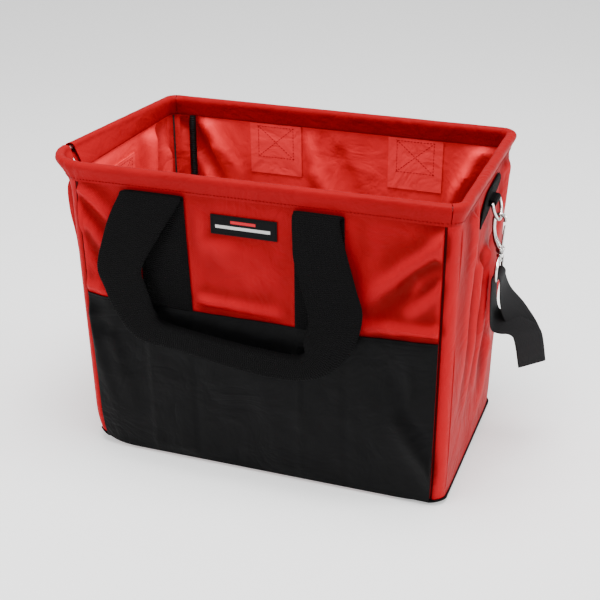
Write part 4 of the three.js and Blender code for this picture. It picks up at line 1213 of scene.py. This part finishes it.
# share of the way between the strips, top, bottom, stand-off
GRIP = [(0.12, 0.89, 1.07, 1), (0.4, 0.93, 1.12, 1.02), (0.62, 0.95, 1.15, 1.03), (0.86, 0.96, 1.15, 1.02)]
print("rows of the tables", len(LEFT_LEG), len(RIGHT_LEG), len(GRIP))


# %% Handle pieces
LOOP_ROWS, STRIP_STEPS, GROOVE = 240, 42, 3


def off_wall(side, across, down, off):
    """A point in front of a wall, hung from the wall's top."""
    z = STRIP_TOP - down * HANDLE_DROP
    place = wall_point((side, across), [min(z, FLARE_START)], off, True)[0]
    place[2] = z
    return place


def handle_loop(side):
    """Both edges of the free webbing, with its thickness and its groove."""
    rows = []
    for centre, leg in zip(STRIP_CENTRES, (LEFT_LEG, RIGHT_LEG)):
        rows.append([
            (centre + row[0] * WEBBING_WIDTH, row[1], centre + row[2] * WEBBING_WIDTH, row[3], *row[4:])
            for row in leg
        ])
    left, width = STRIP_CENTRES[0], STRIP_CENTRES[1] - STRIP_CENTRES[0]
    grip = [(left + at * width, bottom, left + at * width, top, out, 1, 1) for at, top, bottom, out in GRIP]
    table = spread([*rows[0], *grip, *rows[1][::-1]], LOOP_ROWS)
    near = [off_wall(side, r[0], r[1], r[4] * GRIP_STAND_OFF) for r in table]
    far = [off_wall(side, r[2], r[3], r[4] * GRIP_STAND_OFF) for r in table]
    return near, far, table[:, 5] * GRIP_THICKNESS, np.clip(table[:, 6], 0, 1) * GROOVE


def strip_edge(side, centre, sign):
    """One edge of a strip, from the black panel up; the right edges lean out a little."""
    edge = centre + sign * WEBBING_WIDTH / 2
    rows = np.linspace(panel_top(edge) + CLEARANCE, STRIP_TOP - 1, STRIP_STEPS)
    lean = STRIP_LEAN * (sign > 0) * (STRIP_TOP - rows) / (STRIP_TOP - PANEL_TOP)
    return np.vstack([
        wall_point((side, edge + out), [z], GAP + WEBBING_THICKNESS / 2) for out, z in zip(lean, rows)
    ])


for side in ("front", "back"):
    near, far, thick, groove = handle_loop(side)
    loop = ribbon(f"{side}_handle_loop", near, far, thick, WEBBING, groove=groove)
    bag_piece(loop, "black_webbing", f"{side}_handle")
    for where, centre in zip(("left", "right"), STRIP_CENTRES):
        edges = [strip_edge(side, centre, sign) for sign in (-1, 1)]
        strip = ribbon(f"{side}_{where}_strip", *edges, WEBBING_THICKNESS, WEBBING)
        bag_piece(strip, "black_webbing")
print("handles", round(float(run_length((np.array(near) + far) / 2)[-1])), "mm of webbing in the loop")

# %% [markdown]
# ## D-rings and their tabs
# A tab is a slanting band of webbing with a short loop that holds the straight bar of a D-ring. The right
# ring is pulled out from the wall by the hook that hangs on it. The walls lean and bulge, so these pieces
# could be placed by many small turns. It is easier to give a tab a frame of its own on the side wall, x
# out from the wall, y along it and z up, and to draw band, loop and ring in that frame.

# %% Sizes of the rings and tabs
RING_BAR_HEIGHT, RING_STAND_OFF, PULLED_TILT = 290, 6, math.radians(-16)
RING_WIRE, RING_WIDTH, RING_DROP, RING_CORNER = 1.7, 32, 20, 3
TAB_HEIGHT, TAB_THICKNESS, TAB_LOOP_LENGTH = 24, 2, 24
# along the band, in shares of TAB_LENGTH; low edge and high edge, in shares of TAB_HEIGHT
TAB_EDGES = [
    (-0.5, -0.62, -0.5), (-0.43, -0.57, -0.04), (-0.3, -0.51, 0.28), (-0.16, -0.44, 0.5),
    (0.1, -0.22, 0.565), (0.4, 0.06, 0.62), (0.47, 0.18, 0.5), (0.5, 0.3, 0.38),
]
print("rows of the band", len(TAB_EDGES))


# %% A place with its own axes
def unit(vector):
    """The same direction, one long."""
    return np.asarray(vector, float) / np.linalg.norm(vector)


class Place:
    """An origin with its own x, y and z, which turns its own points into points of the bag."""

    def __init__(self, origin, axes):
        self.origin, self.axes = np.asarray(origin, float), np.asarray(axes, float)

    def __call__(self, points):
        return self.origin + np.asarray(points, float) @ self.axes

    def tilted(self, out, turn):
        """A place further out along x, turned about y."""
        x, y, z = self.axes
        tilt = [x * math.cos(turn) - z * math.sin(turn), y, x * math.sin(turn) + z * math.cos(turn)]
        return Place(self.origin + x * out, tilt)


print("a place out from the origin", Place((0, 0, 0), np.eye(3)).tilted(5, 0).origin)


# %% Frames on the side walls
def side_place(side):
    """A frame on a side wall, just outside the highest point of the cloth under the band."""

    def on_wall(along, rise):
        return wall_point((side, RING_CENTRE + along), [RING_BAR_HEIGHT + rise], CLOTH / 2)[0]

    y = unit(on_wall(TAB_LENGTH / 2, 0) - on_wall(-TAB_LENGTH / 2, 0))
    x = unit(np.cross(y, on_wall(0, TAB_HEIGHT / 2) - on_wall(0, -TAB_HEIGHT / 2)))
    origin = on_wall(0, 0)
    edges = [(row[0] * TAB_LENGTH, edge * TAB_HEIGHT) for row in TAB_EDGES for edge in row[1:]]
    proud = max(0, *((on_wall(*edge) - origin) @ x for edge in edges))
    return Place(origin + x * (proud + 2 * CLEARANCE), [x, y, np.cross(x, y)])


TAB_PLACES = {side: side_place(side) for side in ("right", "left")}
RING_PLACES = {
    "right": TAB_PLACES["right"].tilted(RING_STAND_OFF, PULLED_TILT),
    "left": TAB_PLACES["left"].tilted(RING_STAND_OFF, 0),
}
print("ring bars", {side: place.origin.round(1).tolist() for side, place in RING_PLACES.items()})


# %% Tabs
BAND_ROWS, LOOP_THICKNESS, LOOP_ROOM, LOOP_TURNS = 60, 1.4, 0.8, 17
# Foot of the loop: out from the wall, and past the bend
LOOP_FOOT = [(1.4, 0.6), (3.2, 0.1)]


def tab_pieces(side):
    place = TAB_PLACES[side]
    table = spread(TAB_EDGES, BAND_ROWS)
    table[:, 0] = np.clip(table[:, 0], -0.5, 0.5)
    table[:, 2] = np.maximum(table[:, 2], table[:, 1] + 0.06)
    middle = TAB_THICKNESS / 2
    low, high = (
        place(np.column_stack([
            np.full(BAND_ROWS, middle), table[:, 0] * TAB_LENGTH, table[:, k] * TAB_HEIGHT
        ]))
        for k in (1, 2)
    )
    band = ribbon(f"{side}_tab_band", low, high, TAB_THICKNESS, WEBBING)
    bag_piece(band, "black_webbing", f"d_ring_tab_{side}")
    bend = RING_WIRE + CLEARANCE + LOOP_ROOM
    turns = np.linspace(-math.pi / 2, math.pi / 2, LOOP_TURNS)
    path = [(out, -bend - past) for out, past in LOOP_FOOT]
    path += [(RING_STAND_OFF + bend * math.cos(t), bend * math.sin(t)) for t in turns]
    path += [(out, bend + past) for out, past in LOOP_FOOT[::-1]]
    edges = [place([(x, sign * TAB_LOOP_LENGTH / 2, z) for x, z in path]) for sign in (-1, 1)]
    bag_piece(ribbon(f"{side}_tab_loop", *edges, LOOP_THICKNESS, WEBBING), "black_webbing")


for side in ("right", "left"):
    tab_pieces(side)

# %% D-rings
RING_SHOULDER = 4.4


def ring_path():
    """The outline of a D: a straight bar, two small bends and half an ellipse."""
    half, corner, shoulder = RING_WIDTH / 2, RING_CORNER, RING_SHOULDER
    arc = np.linspace(0, math.pi / 2, 7)
    left = [(-half + corner * (1 - math.cos(t)), -corner + corner * math.sin(t)) for t in arc]
    right = [(-y, z) for y, z in left[::-1]]
    bow = [
        (half * math.cos(t), -shoulder - (RING_DROP - shoulder) * math.sin(t))
        for t in np.linspace(0, math.pi, 41)
    ]
    return [(0, y, z) for y, z in (*left, *right, *bow)]


for side, body in (("right", "bag"), ("left", "left_ring")):
    place = RING_PLACES[side]
    wire = tube(f"{side}_d_ring", place(ring_path()), RING_WIRE, STEEL, ring=True, up=place.axes[0])
    bag_piece(wire, "bright_steel", f"d_ring_{side}", body=body)
print("rings at", RING_PLACES["right"]((0, 0, -RING_DROP)).round(1))

# %% [markdown]
# ## Snap hook
# The hook hangs by its nose from the right ring. Below the nose are the spine, the knuckle with the gate's
# rivet, a swivel, and an eye for the strap. A real hook is cast, and could be sculpted or cut from
# blocks. Nearly all of it is round in section, so a wire whose radius changes along a table gives the
# spine and nose, and solids of revolution give the rest. All of it lies in one frame, x out from the bag.

# %% Hook tables
HOOK_WIRE, NOSE_RADIUS, HOOK_LENGTH, HOOK_LEAN = 2, 5.6, 32, 0.45
KNUCKLE_RADIUS, KNUCKLE_THICKNESS = 4.4, 6
GATE_WIRE, GATE_EYE, COLLAR_HEIGHT, COLLAR_RADIUS, COLLAR_WIRE = 1.3, 2.4, 4, 2.7, 0.8
EYE_WIRE, EYE_DROP = 1.8, 22
STRAP_WIDTH, STRAP_THICKNESS, STRAP_DROP = 30, 1.8, 96
bow_at = RING_PLACES["right"]((0, 0, -RING_DROP))
nose_drop = NOSE_RADIUS - HOOK_WIRE - RING_WIRE - 2 * CLEARANCE
HOOK = Place(bow_at - (0, 0, nose_drop), np.eye(3))
RIVET = (NOSE_RADIUS * HOOK_LEAN, -HOOK_LENGTH)
EYE_TOP = RIVET[1] - KNUCKLE_RADIUS - CLEARANCE - COLLAR_HEIGHT / 2
# out and up from the nose's middle, and the wire's radius; the spine widens towards the knuckle
HOOK_BODY = [
    (5.2, -2.1, 1.5), (5.47, 1.23, 1.9), (3.96, 3.96, 2.0), (1.05, 5.5, 2.0), (-2.2, 5.14, 2.0),
    (-4.63, 3.14, 2.0), (-5.6, 0, 2.0), (-5.7, -5.0, 2.0), (-5.49, -11, 2.0), (-4.4, -17.5, 2.2),
    (-2.8, -23, 2.7), (-0.2, -28.2, 3.2), (1.6, -31, 3.4),
]
# along the half width and down, in shares
EYE_OUTLINE = [(0, 0), (0.45, 0.05), (0.9, 0.3), (1, 0.55), (1, 0.86), (0.9, 1), (0.6, 1.01)]
print("hook's nose", HOOK.origin.round(2))


# %% Turned solids and discs
TURNED_SIDES = 28


def turned(name, profile, centre, axis, finish, sides=TURNED_SIDES):
    """A solid of revolution: profile rows are height along the axis and radius."""
    heights, radii = np.array(profile, float).T
    heights = heights + np.arange(len(heights)) * 1e-3
    path = np.asarray(centre, float) + np.outer(heights, unit(axis))
    up = (1, 0, 0) if abs(axis[0]) < 0.5 else (0, 0, 1)
    return tube(name, path, radii, finish, sides=sides, up=up)


def disc(name, radius, thick, centre, finish, bevel=0.5):
    """A thin round plate that faces the front, with a soft edge."""
    half = thick / 2
    profile = [
        (-half, radius * 0.3), (-half, radius - bevel), (-half + bevel * 0.4, radius - bevel * 0.3),
        (-half + bevel, radius), (half - bevel, radius), (half - bevel * 0.4, radius - bevel * 0.3),
        (half, radius - bevel), (half, radius * 0.3),
    ]
    return turned(name, profile, centre, (0, 1, 0), finish)


print("sides of a turned piece", TURNED_SIDES)


# %% Spine, knuckle, rivet and swivel
HOOK_STEPS, GATE_STEPS, EYE_STEPS, COLLAR_STEPS = 90, 30, 120, 36


def steel_piece(piece, *nodes, body="bag"):
    return bag_piece(piece, "bright_steel", *nodes, body=body)


RIVET_AT = HOOK((RIVET[0], 0, RIVET[1]))
RIVET_PROFILE = [
    (-3.9, 0.7), (-3.75, 1.7), (-3.3, 2.2), (-3.1, 2.3), (-3.05, 1.2),
    (3.05, 1.2), (3.1, 2.3), (3.3, 2.2), (3.75, 1.7), (3.9, 0.7),
]
# down from the swivel's top, and radius
SWIVEL_PROFILE = [(0, 2.6), (0.8, 2.2), (1.6, 1.6), (7.8, 1.6), (8.2, 2.5), (9.4, 2.4), (9.8, 1.4)]
SWIVEL_TOP = KNUCKLE_RADIUS - 1.2


def hook_body():
    """All of the hook that is cast or turned and doesn't move with the gate."""
    table = spread(HOOK_BODY, HOOK_STEPS)
    path = HOOK(np.column_stack([table[:, 0], np.zeros(len(table)), table[:, 1]]))
    steel_piece(tube("hook_wire", path, table[:, 2], STEEL, up=(0, 1, 0), flat=(1, 0.95)), "hook_body")
    slot = GATE_WIRE + CLEARANCE
    middle, thick = (KNUCKLE_THICKNESS / 2 + slot) / 2, KNUCKLE_THICKNESS / 2 - slot
    for name, sign in (("front", -1), ("back", 1)):
        centre = RIVET_AT + (0, sign * middle, 0)
        steel_piece(disc(f"hook_{name}_cheek", KNUCKLE_RADIUS, thick, centre, STEEL))
    steel_piece(turned("hook_rivet_pin", RIVET_PROFILE, RIVET_AT, (0, 1, 0), STEEL), "hook_rivet")
    swivel = [(SWIVEL_TOP + down, radius) for down, radius in SWIVEL_PROFILE]
    steel_piece(turned("hook_swivel", swivel, RIVET_AT, (0, 0, -1), STEEL))


hook_body()
print("rivet at", RIVET_AT.round(1))


# %% Gate, eye and collar
def gate():
    """The sprung lever: it tapers a little at its tip, just under the nose."""
    start = np.array((RIVET[0] + GATE_WIRE, 0, RIVET[1] + GATE_WIRE))
    tip = np.array((NOSE_RADIUS, 0, -NOSE_RADIUS - CLEARANCE))
    share = np.linspace(0, 1, GATE_STEPS)[:, None]
    lever = HOOK(start + (tip - start) * share)
    radii = GATE_WIRE * (0.96 - 0.12 * share[:, 0] ** 6)
    steel_piece(tube("gate_lever", lever, radii, STEEL, up=(0, 1, 0)), "hook_gate", body="gate")
    steel_piece(disc("gate_eye", GATE_EYE, 2 * GATE_WIRE, RIVET_AT, STEEL, 0.3), body="gate")


def strap_eye():
    """The loop of wire that holds the strap, and the collar in which it turns."""
    half = STRAP_WIDTH / 2 + EYE_WIRE + 3 * CLEARANCE
    mirrored = [(-along, down) for along, down in EYE_OUTLINE[:0:-1]]
    outline = spread([*EYE_OUTLINE, (0, 1.01), *mirrored, EYE_OUTLINE[0]], EYE_STEPS + 1)[:-1]
    points = [(RIVET[0], along * half, EYE_TOP - down * EYE_DROP) for along, down in outline]
    eye = tube("hook_eye_wire", HOOK(points), EYE_WIRE, STEEL, ring=True, up=(1, 0, 0))
    steel_piece(eye, "hook_eye")
    around = np.linspace(0, 2 * math.pi, COLLAR_STEPS + 1)[:-1]
    circle = [
        (RIVET[0] + COLLAR_RADIUS * math.cos(t), COLLAR_RADIUS * math.sin(t), EYE_TOP) for t in around
    ]
    steel_piece(tube("hook_collar", HOOK(circle), COLLAR_WIRE, STEEL, ring=True, flat=(1, 2.5)))


gate()
strap_eye()

# %% [markdown]
# ## Strap
# The strap's webbing comes up behind from its cut end, goes over the eye's bar and down, folds round
# below and turns to the front. It twists as it falls, so its two edges are worked out from the middle
# line and two angles in each row of a table, in shares of its width and of its drop below the bar. That
# takes fewer numbers than two edges would, and keeps the width the same all along.

# %% Strap
# out, along, drop; degrees turned to the front; degrees that the outer edge is raised
STRAP_ROWS = [
    (1.3, 0.42, 1.05, 64, 14), (1.06, 0.42, 0.72, 62, 18), (0.6, 0.34, 0.46, 40, 20),
    (0.28, 0.1, 0.24, 12, 10), (0.16, 0, 0.06, 0, 0), (0.13, 0, -0.01, 0, 0), (0, 0, -0.042, 0, 0),
    (-0.13, 0, -0.01, 0, 0), (-0.14, 0, 0.12, 0, 0), (-0.1, -0.02, 0.38, 2, 4),
    (0.02, -0.04, 0.52, 8, 22), (0.38, 0.0, 0.56, 22, 26), (0.9, 0.1, 0.61, 52, 18),
    (1.16, 0.14, 0.71, 62, 16), (1.34, 0.24, 1.04, 64, 14),
]
STRAP_STEPS = 170


def strap_piece():
    """The strap from one cut end to the other."""
    table = spread(STRAP_ROWS, STRAP_STEPS)
    out, along, drop = table[:, 0] * STRAP_WIDTH, table[:, 1] * STRAP_WIDTH, -table[:, 2] * STRAP_DROP
    bar = HOOK((RIVET[0], 0, EYE_TOP - EYE_DROP))
    centres = bar + np.column_stack([out, along, drop])
    turned_by, raised = np.radians(table[:, 3]), np.radians(table[:, 4])
    wide = np.column_stack([
        np.sin(turned_by) * np.cos(raised), np.cos(turned_by) * np.cos(raised), np.sin(raised)
    ]) * STRAP_WIDTH / 2
    return ribbon("strap_webbing", centres - wide, centres + wide, STRAP_THICKNESS, STRAP_WEBBING)


bag_piece(strap_piece(), "black_webbing", "strap")

# %% [markdown]
# ## Posts and corner tapes
# A ribbed post stands inside one wall near each corner, and a dark tape binds the seam in each corner.
# A post could be a plain cylinder, but the walls lean, and it has to stay clear of them from foot to
# hem. So its foot and lean come from the wall's own points. A tape is a narrow ribbon along the bend.


# %% Posts and tapes
POST_STEPS, POST_SIDES, POST_TAPER = 40, 20, 0.85
TAPE_GAP, TAPE_THICKNESS, TAPE_STEPS = 0.7, 0.8, 6


def post_piece(side):
    """A post that leans with its wall, as near to it as it can stand."""
    inset = straight_half(side) + EDGE_RADIUS - POST_INSET
    offset = -(GAP + POST_RADIUS)
    foot, middle, top = wall_point((side, inset), [WALL_FOOT, FLARE_START, HEM_BOTTOM], offset, True)
    face = np.array([*SIDES[side][1], 0])
    lean = min(float((p - foot) @ face) / (p[2] - foot[2]) for p in (middle, top))
    way = unit(np.array([0, 0, 1]) + face * lean)
    length = (HEM_BOTTOM - WALL_FOOT - 4 * CLEARANCE) / way[2]
    heights = CLEARANCE + length * np.linspace(0, 1, POST_STEPS)
    radii = np.full(POST_STEPS, float(POST_RADIUS))
    radii[[0, -1]] *= POST_TAPER
    path = foot + np.outer(heights, way)
    return tube(f"{side}_post", path, radii, RIBBED_PLASTIC, sides=POST_SIDES, up=(1, 0, 0))


def corner_tape(side):
    """The tape over a corner's seam, on the inside."""
    rows = np.array(steps_between([WALL_FOOT + 1, HEM_BOTTOM - 2]))
    facing = corner_columns(side)
    edges = [wall_point(facing[k], rows, -CLOTH / 2 - TAPE_GAP) for k in (3, 4)]
    return ribbon(f"{side}_corner_tape", *edges, TAPE_THICKNESS, TAPE, steps=TAPE_STEPS)


for side in SIDE_NAMES:
    bag_piece(post_piece(side), "black_plastic", f"post_{side}")
    bag_piece(corner_tape(side), "black_webbing")

# %% [markdown]
# ## Stitches
# Rows of stitches hold every sewn piece: along the hem, round the label, and as boxes with a cross in
# them where the webbing carries the load. Each stitch could be placed by the script, but a Geometry Nodes
# tree does it in a few nodes: it resamples each line at the stitch pitch and sets a small capsule of
# thread along it. The result is turned into a plain mesh, so that the visual model can hold it.


# %% Stitch tree
def stitch_tree():
    """Lines in, rows of thread out, with a pitch, a size and a material."""
    tree = bpy.data.node_groups.new("stitch_rows", "GeometryNodeTree")
    tree.interface.new_socket("Geometry", in_out="INPUT", socket_type="NodeSocketGeometry")
    for name, kind in (("Pitch", "Float"), ("Size", "Vector"), ("Thread", "Material")):
        tree.interface.new_socket(name, in_out="INPUT", socket_type=f"NodeSocket{kind}")
    tree.interface.new_socket("Geometry", in_out="OUTPUT", socket_type="NodeSocketGeometry")

    def node(kind, settings=None, **links):
        made = tree.nodes.new(kind)
        for key, value in (settings or {}).items():
            setattr(made, key, value)
        for name, source in links.items():
            tree.links.new(source, made.inputs[name.replace("_", " ")])
        return made

    start = node("NodeGroupInput").outputs
    curve = node("GeometryNodeMeshToCurve", Mesh=start["Geometry"])
    even = node(
        "GeometryNodeResampleCurve", {"mode": "LENGTH"}, Curve=curve.outputs[0], Length=start["Pitch"]
    )
    ball = node("GeometryNodeMeshUVSphere")
    for name, value in (("Segments", 8), ("Rings", 5), ("Radius", 0.5)):
        ball.inputs[name].default_value = value
    ahead = node("GeometryNodeInputTangent").outputs[0]
    aim = node("FunctionNodeAlignRotationToVector", {"axis": "X"}, Vector=ahead)
    rows = node(
        "GeometryNodeInstanceOnPoints", Points=even.outputs[0], Instance=ball.outputs[0],
        Rotation=aim.outputs[0], Scale=start["Size"],
    )
    plain = node("GeometryNodeRealizeInstances", Geometry=rows.outputs[0])
    dyed = node("GeometryNodeSetMaterial", Geometry=plain.outputs[0], Material=start["Thread"])
    smooth_it = node("GeometryNodeSetShadeSmooth", Geometry=dyed.outputs[0])
    node("NodeGroupOutput", Geometry=smooth_it.outputs[0])
    return tree


STITCHES = stitch_tree()
print("stitch tree", len(STITCHES.nodes), "nodes")


# %% Stitches along lines
STITCH_PITCH, STITCH_LENGTH, STITCH_THICK = 3.6, 2.6, 0.75


def stitch_rows(
    name, lines, thread_finish, pitch=STITCH_PITCH, length=STITCH_LENGTH, thick=STITCH_THICK
):
    """Rows of stitches along lines of points, in millimetres, as one plain mesh."""
    points, edges = [], []
    for line in lines:
        edges += [(len(points) + i, len(points) + i + 1) for i in range(len(line) - 1)]
        points += [tuple(point * MM) for point in np.asarray(line)]
    paths = bpy.data.meshes.new(name)
    paths.from_pydata(points, edges, [])
    carrier = new_piece(f"{name}_lines", paths)
    modifier = carrier.modifiers.new("stitches", "NODES")
    modifier.node_group = STITCHES
    ids = {item.name: item.identifier for item in STITCHES.interface.items_tree if item.in_out == "INPUT"}
    modifier[ids["Pitch"]] = pitch * MM
    modifier[ids["Size"]] = (length * MM, thick * MM, thick * MM)
    modifier[ids["Thread"]] = thread_finish
    ready = carrier.evaluated_get(bpy.context.evaluated_depsgraph_get())
    mesh = bpy.data.meshes.new_from_object(ready)
    mesh.name = name
    bpy.data.objects.remove(carrier)
    piece = new_piece(name, mesh)
    if not mesh.materials:
        mesh.materials.append(thread_finish)
    return piece


print("stitch pitch", STITCH_PITCH, "mm")


# %% Lines on the walls
def wall_line(side, places, offset, step=3.0):
    """A line over a wall through (along, z) places."""
    line = []
    for (a0, z0), (a1, z1) in zip(places, places[1:]):
        count = max(2, int(math.hypot(a1 - a0, z1 - z0) / step))
        shares = np.linspace(0, 1, count, endpoint=False)
        line += [wall_point((side, a0 + (a1 - a0) * t), [z0 + (z1 - z0) * t], offset)[0] for t in shares]
    a1, z1 = places[-1]
    return [*line, wall_point((side, a1), [z1], offset)[0]]


def box_cross(side, centre, half, bottom, top, offset):
    """A sewn box with a cross in it."""
    a, b = centre - half, centre + half
    return [
        wall_line(side, [(a, bottom), (b, bottom), (b, top), (a, top), (a, bottom)], offset),
        wall_line(side, [(a, bottom), (b, top)], offset),
        wall_line(side, [(a, top), (b, bottom)], offset),
    ]


print("points of a line 30 mm long", len(wall_line("front", [(0, 200), (30, 200)], GAP)))

# %% Rows of stitches
HEM_STITCH, HEM_STITCH_OUT = 311, 2.1
# Half width, bottom and top of the sewn boxes on the patches behind the handles and on the strips
PATCH_BOX, STRIP_BOX = (21, 267, 303), (20, 264, 298)
SIDE_BOX_HALF, SIDE_BOX_MARGIN = 24, 4
STRIP_STITCH_IN, STRIP_STITCH_OUT, PANEL_STITCH_DROP, LABEL_STITCH_IN = 3, 1.9, 3.5, 1.6
TAB_STITCH_IN = 0.09
inner = -GAP - PATCH_THICKNESS


def hem_stitch(k):
    """A point of the seam under the hem, at column k."""
    out = HEM_STITCH_OUT + hem_wave(rim_places[k])
    return wall_point(COLUMNS[k], [HEM_STITCH], out, True)[0]


red_lines, black_lines = [], []
for side in SIDE_NAMES:
    places = [k for k, column in enumerate(COLUMNS) if column[0] == side]
    red_lines.append([hem_stitch(k) for k in places[1:-1]])
    reach = straight_half(side) - 3
    if side in ("front", "back"):
        hem = [(along, panel_top(along) - PANEL_STITCH_DROP) for along in np.linspace(-reach, reach, 31)]
        black_lines.append(wall_line(side, hem, GAP + PANEL_THICKNESS))
        for centre in STRIP_CENTRES:
            red_lines += box_cross(side, centre, *PATCH_BOX, inner)
            for sign in (-1, 1):
                edge = centre + sign * (WEBBING_WIDTH / 2 - STRIP_STITCH_IN)
                line = [(edge, PANEL_TOP + 2), (edge, STRIP_TOP - 4)]
                black_lines.append(wall_line(side, line, GAP + STRIP_STITCH_OUT))
            black_lines += box_cross(side, centre, *STRIP_BOX, GAP + WEBBING_THICKNESS)
    else:
        bottom = SIDE_PATCH_TOP - SIDE_PATCH_HEIGHT
        low, high = bottom + SIDE_BOX_MARGIN, SIDE_PATCH_TOP - SIDE_BOX_MARGIN
        red_lines += box_cross(side, RING_CENTRE, SIDE_BOX_HALF, low, high, inner)
half = LABEL_WIDTH / 2 - LABEL_STITCH_IN
a, b = LABEL_CENTRE - half, LABEL_CENTRE + half
low, high = LABEL_TOP - LABEL_HEIGHT + LABEL_STITCH_IN, LABEL_TOP - LABEL_STITCH_IN
frame_line = [(a, low), (b, low), (b, high), (a, high), (a, low)]
black_lines.append(wall_line("front", frame_line, GAP + LABEL_THICKNESS))
for side in ("right", "left"):
    for k, move in ((1, TAB_STITCH_IN), (2, -TAB_STITCH_IN)):
        table = spread(TAB_EDGES, 40)[5:-5]
        black_lines.append(TAB_PLACES[side](np.column_stack([
            np.full(len(table), TAB_THICKNESS), table[:, 0] * TAB_LENGTH, (table[:, k] + move) * TAB_HEIGHT
        ])))
bag_piece(stitch_rows("red_stitches", red_lines, RED_THREAD), "red_nylon")
black_rows = stitch_rows("black_stitches", black_lines, BLACK_THREAD, pitch=3.2, length=2.4, thick=0.7)
bag_piece(black_rows, "black_webbing")

# %% [markdown]
# ## Stage and light
# The photograph is a studio picture on white. A sky picture could light the bag, but then nothing says
# where a highlight comes from. Here are a pale floor that glows a little, an even white world, and three
# large soft lights: one above, which brightens the rim and the inside, one from the right, and a weak
# one at the front left, which keeps the black panels from going quite black.


# %% Floor
FLOOR_GLOW = 0.4
FLOOR_HALF = 30.0


def floor_finish():
    """A pale, dull floor that glows a little, so that it is nearly white."""
    shade = Shade("floor")
    shade.set(Base_Color=(0.9, 0.9, 0.9, 1), Roughness=0.6)
    shade.set(Emission_Color=(1, 1, 1, 1), Emission_Strength=FLOOR_GLOW)
    return shade.material


floor_mesh = bpy.data.meshes.new("floor")
floor_corners = [(x * FLOOR_HALF, y * FLOOR_HALF, 0) for x, y in ((-1, -1), (1, -1), (1, 1), (-1, 1))]
floor_mesh.from_pydata(floor_corners, [], [(0, 1, 2, 3)])
floor = new_piece("floor", floor_mesh, floor_finish())
print("floor", FLOOR_HALF * 2, "m wide")

# %% World and lights
WORLD_STRENGTH = 0.8
world = bpy.data.worlds.new("studio")
world.use_nodes = True
world.node_tree.nodes["Background"].inputs["Color"].default_value = (1, 1, 1, 1)
world.node_tree.nodes["Background"].inputs["Strength"].default_value = WORLD_STRENGTH
bpy.context.scene.world = world


def soft_light(name, place, aim, width, power):
    """A square light that faces the aim: metres and watts."""
    data = bpy.data.lights.new(name, "AREA")
    data.shape = "SQUARE"
    data.size = width
    data.energy = power
    light = bpy.data.objects.new(name, data)
    bpy.context.scene.collection.objects.link(light)
    light.location = place
    light.rotation_euler = (Vector(aim) - Vector(place)).to_track_quat("-Z", "Y").to_euler()
    return light


soft_light("overhead", (0.1, -0.2, 1.9), (0, 0, 0.2), 0.9, 54)
soft_light("side", (1.9, 0.25, 0.8), (0.1, 0, 0.2), 0.6, 26)
soft_light("front_fill", (-0.85, -0.85, 0.75), (-0.1, 0, 0.25), 0.5, 7)

# %% [markdown] ## Finish
